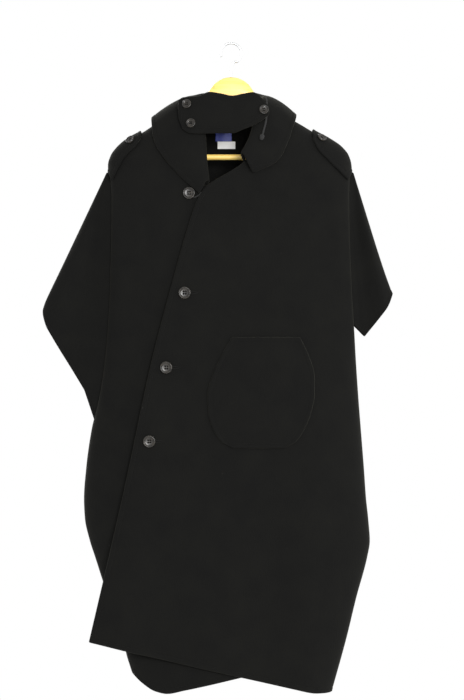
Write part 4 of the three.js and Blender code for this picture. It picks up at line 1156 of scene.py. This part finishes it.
# The hanger: arms with a rounded section from the dome in the middle to blunt round ends, a bar and a hook
hangerSections = table(
    "x top height thickness",
    (0, -63.5, 67, 24), (8, -64.2, 67, 24), (17, -66.6, 64, 24), (31, -75, 58, 24), (43, -90.5, 48, 23),
    (50, -108, 39, 22), (60, -125, 34, 22), (80, -139, 34, 22), (108, -148, 36, 24), (134, -159.6, 38, 27),
    (159, -174.2, 42, 30), (187, -190, 40, 34), (204, -205, 28, 32))
hanger = {name: column(hangerSections, "x", name) for name in ("top", "height", "thickness")}
hangerForm = {"reach": 204, "blunt": 7, "round": 2.6, "sides": 56, "steps": 190, "endShare": 0.55,
              "barRadius": 5.5, "barHeight": -217.5, "barHalf": 172}


# each section is a superellipse, narrowing over the blunt length to endShare of its size
def hangerPart():
    form = hangerForm
    even = np.linspace(-form["reach"] + form["blunt"], form["reach"] - form["blunt"], form["steps"])
    cap = form["reach"] - form["blunt"] * (1 - np.sin(np.linspace(0, math.pi / 2, 9)[1:] * 0.98))
    x = np.r_[-cap[::-1], even, cap][:, None]
    at = np.abs(x)
    past = np.clip((at - form["reach"] + form["blunt"]) / form["blunt"], 0, 1)
    narrow = mix(form["endShare"], 1, np.sqrt(1 - past**2))
    angle = 2 * math.pi * np.arange(form["sides"])[None] / form["sides"]
    power = 2 / form["round"]
    c, d = np.cos(angle), np.sin(angle)
    y = hanger["thickness"](at) / 2 * np.sign(c) * np.abs(c) ** power * narrow
    up = hanger["height"](at) / 2 * np.sign(d) * np.abs(d) ** power * narrow
    z = hanger["top"](at) - hanger["height"](at) / 2 + up
    return loft(np.stack(np.broadcast_arrays(x, y, z), -1))


def barPart():
    form = hangerForm
    x = np.linspace(-form["barHalf"], form["barHalf"], 60)
    path = np.stack([x, 0 * x, 0 * x + form["barHeight"]], 1)
    return tube(path, form["barRadius"], 40, np.array([0, 1.0, 0]))


hookForm = {"wire": 2, "radius": 20, "from": -50, "to": 200, "foot": -63.2}
hookStem = [(0, 0, 0), (0, 0, 11.7), (1, 0, 20.7), (6, 0, 28.7)]


def hookPart():
    form = hookForm
    turn = np.radians(np.linspace(form["from"], form["to"], 13))
    middle = form["wire"] - form["radius"]
    arc = np.stack([form["radius"] * np.cos(turn), 0 * turn, middle + form["radius"] * np.sin(turn)], 1)
    stem = np.array(hookStem) + np.array([0, 0, form["foot"]])
    path = curveThrough(np.vstack([stem, arc]), 260)
    size = np.full(len(path), float(form["wire"]))
    tip = np.linalg.norm(path - path[-1], axis=1)
    size = size * np.sqrt(np.clip(1 - np.clip(1 - tip / form["wire"], 0, 0.98) ** 2, 0.05, 1))  # round tip
    return tube(path, size, 24, np.array([0, 1.0, 0]))


makePiece("hangerWood", hangerPart(), beech, "wood", "hanger_body")
makePiece("trouserBar", barPart(), beech, "wood", "trouser_bar")
makePiece("hangerHook", hookPart(), steel, "steel", "hanger_hook")
print("hanger made")


# a round pale floor below the hem
floorForm = {"radius": 950, "height": -1420, "rings": 20, "sides": 96}


def makeFloor():
    rings, sides = floorForm["rings"], floorForm["sides"]
    radius = np.linspace(1, floorForm["radius"], rings)[:, None]
    angle = 2 * math.pi * np.arange(sides)[None] / sides
    x, y = radius * np.cos(angle), radius * np.sin(angle)
    ring = np.stack(np.broadcast_arrays(x, y, floorForm["height"]), -1)
    a = np.arange((rings - 1) * sides).reshape(rings - 1, sides)
    b = np.roll(a, -1, axis=1)
    quads = np.stack([a, a + sides, b + sides, b], -1).reshape(-1, 4)
    mesh = bpy.data.meshes.new("floor")
    mesh.from_pydata((ring.reshape(-1, 3) / 1000).tolist(), [], quads.tolist() + [list(range(sides))])
    mesh.materials.append(paleFloor())
    floor = bpy.data.objects.new("floor", mesh)
    bpy.context.collection.objects.link(floor)


makeFloor()
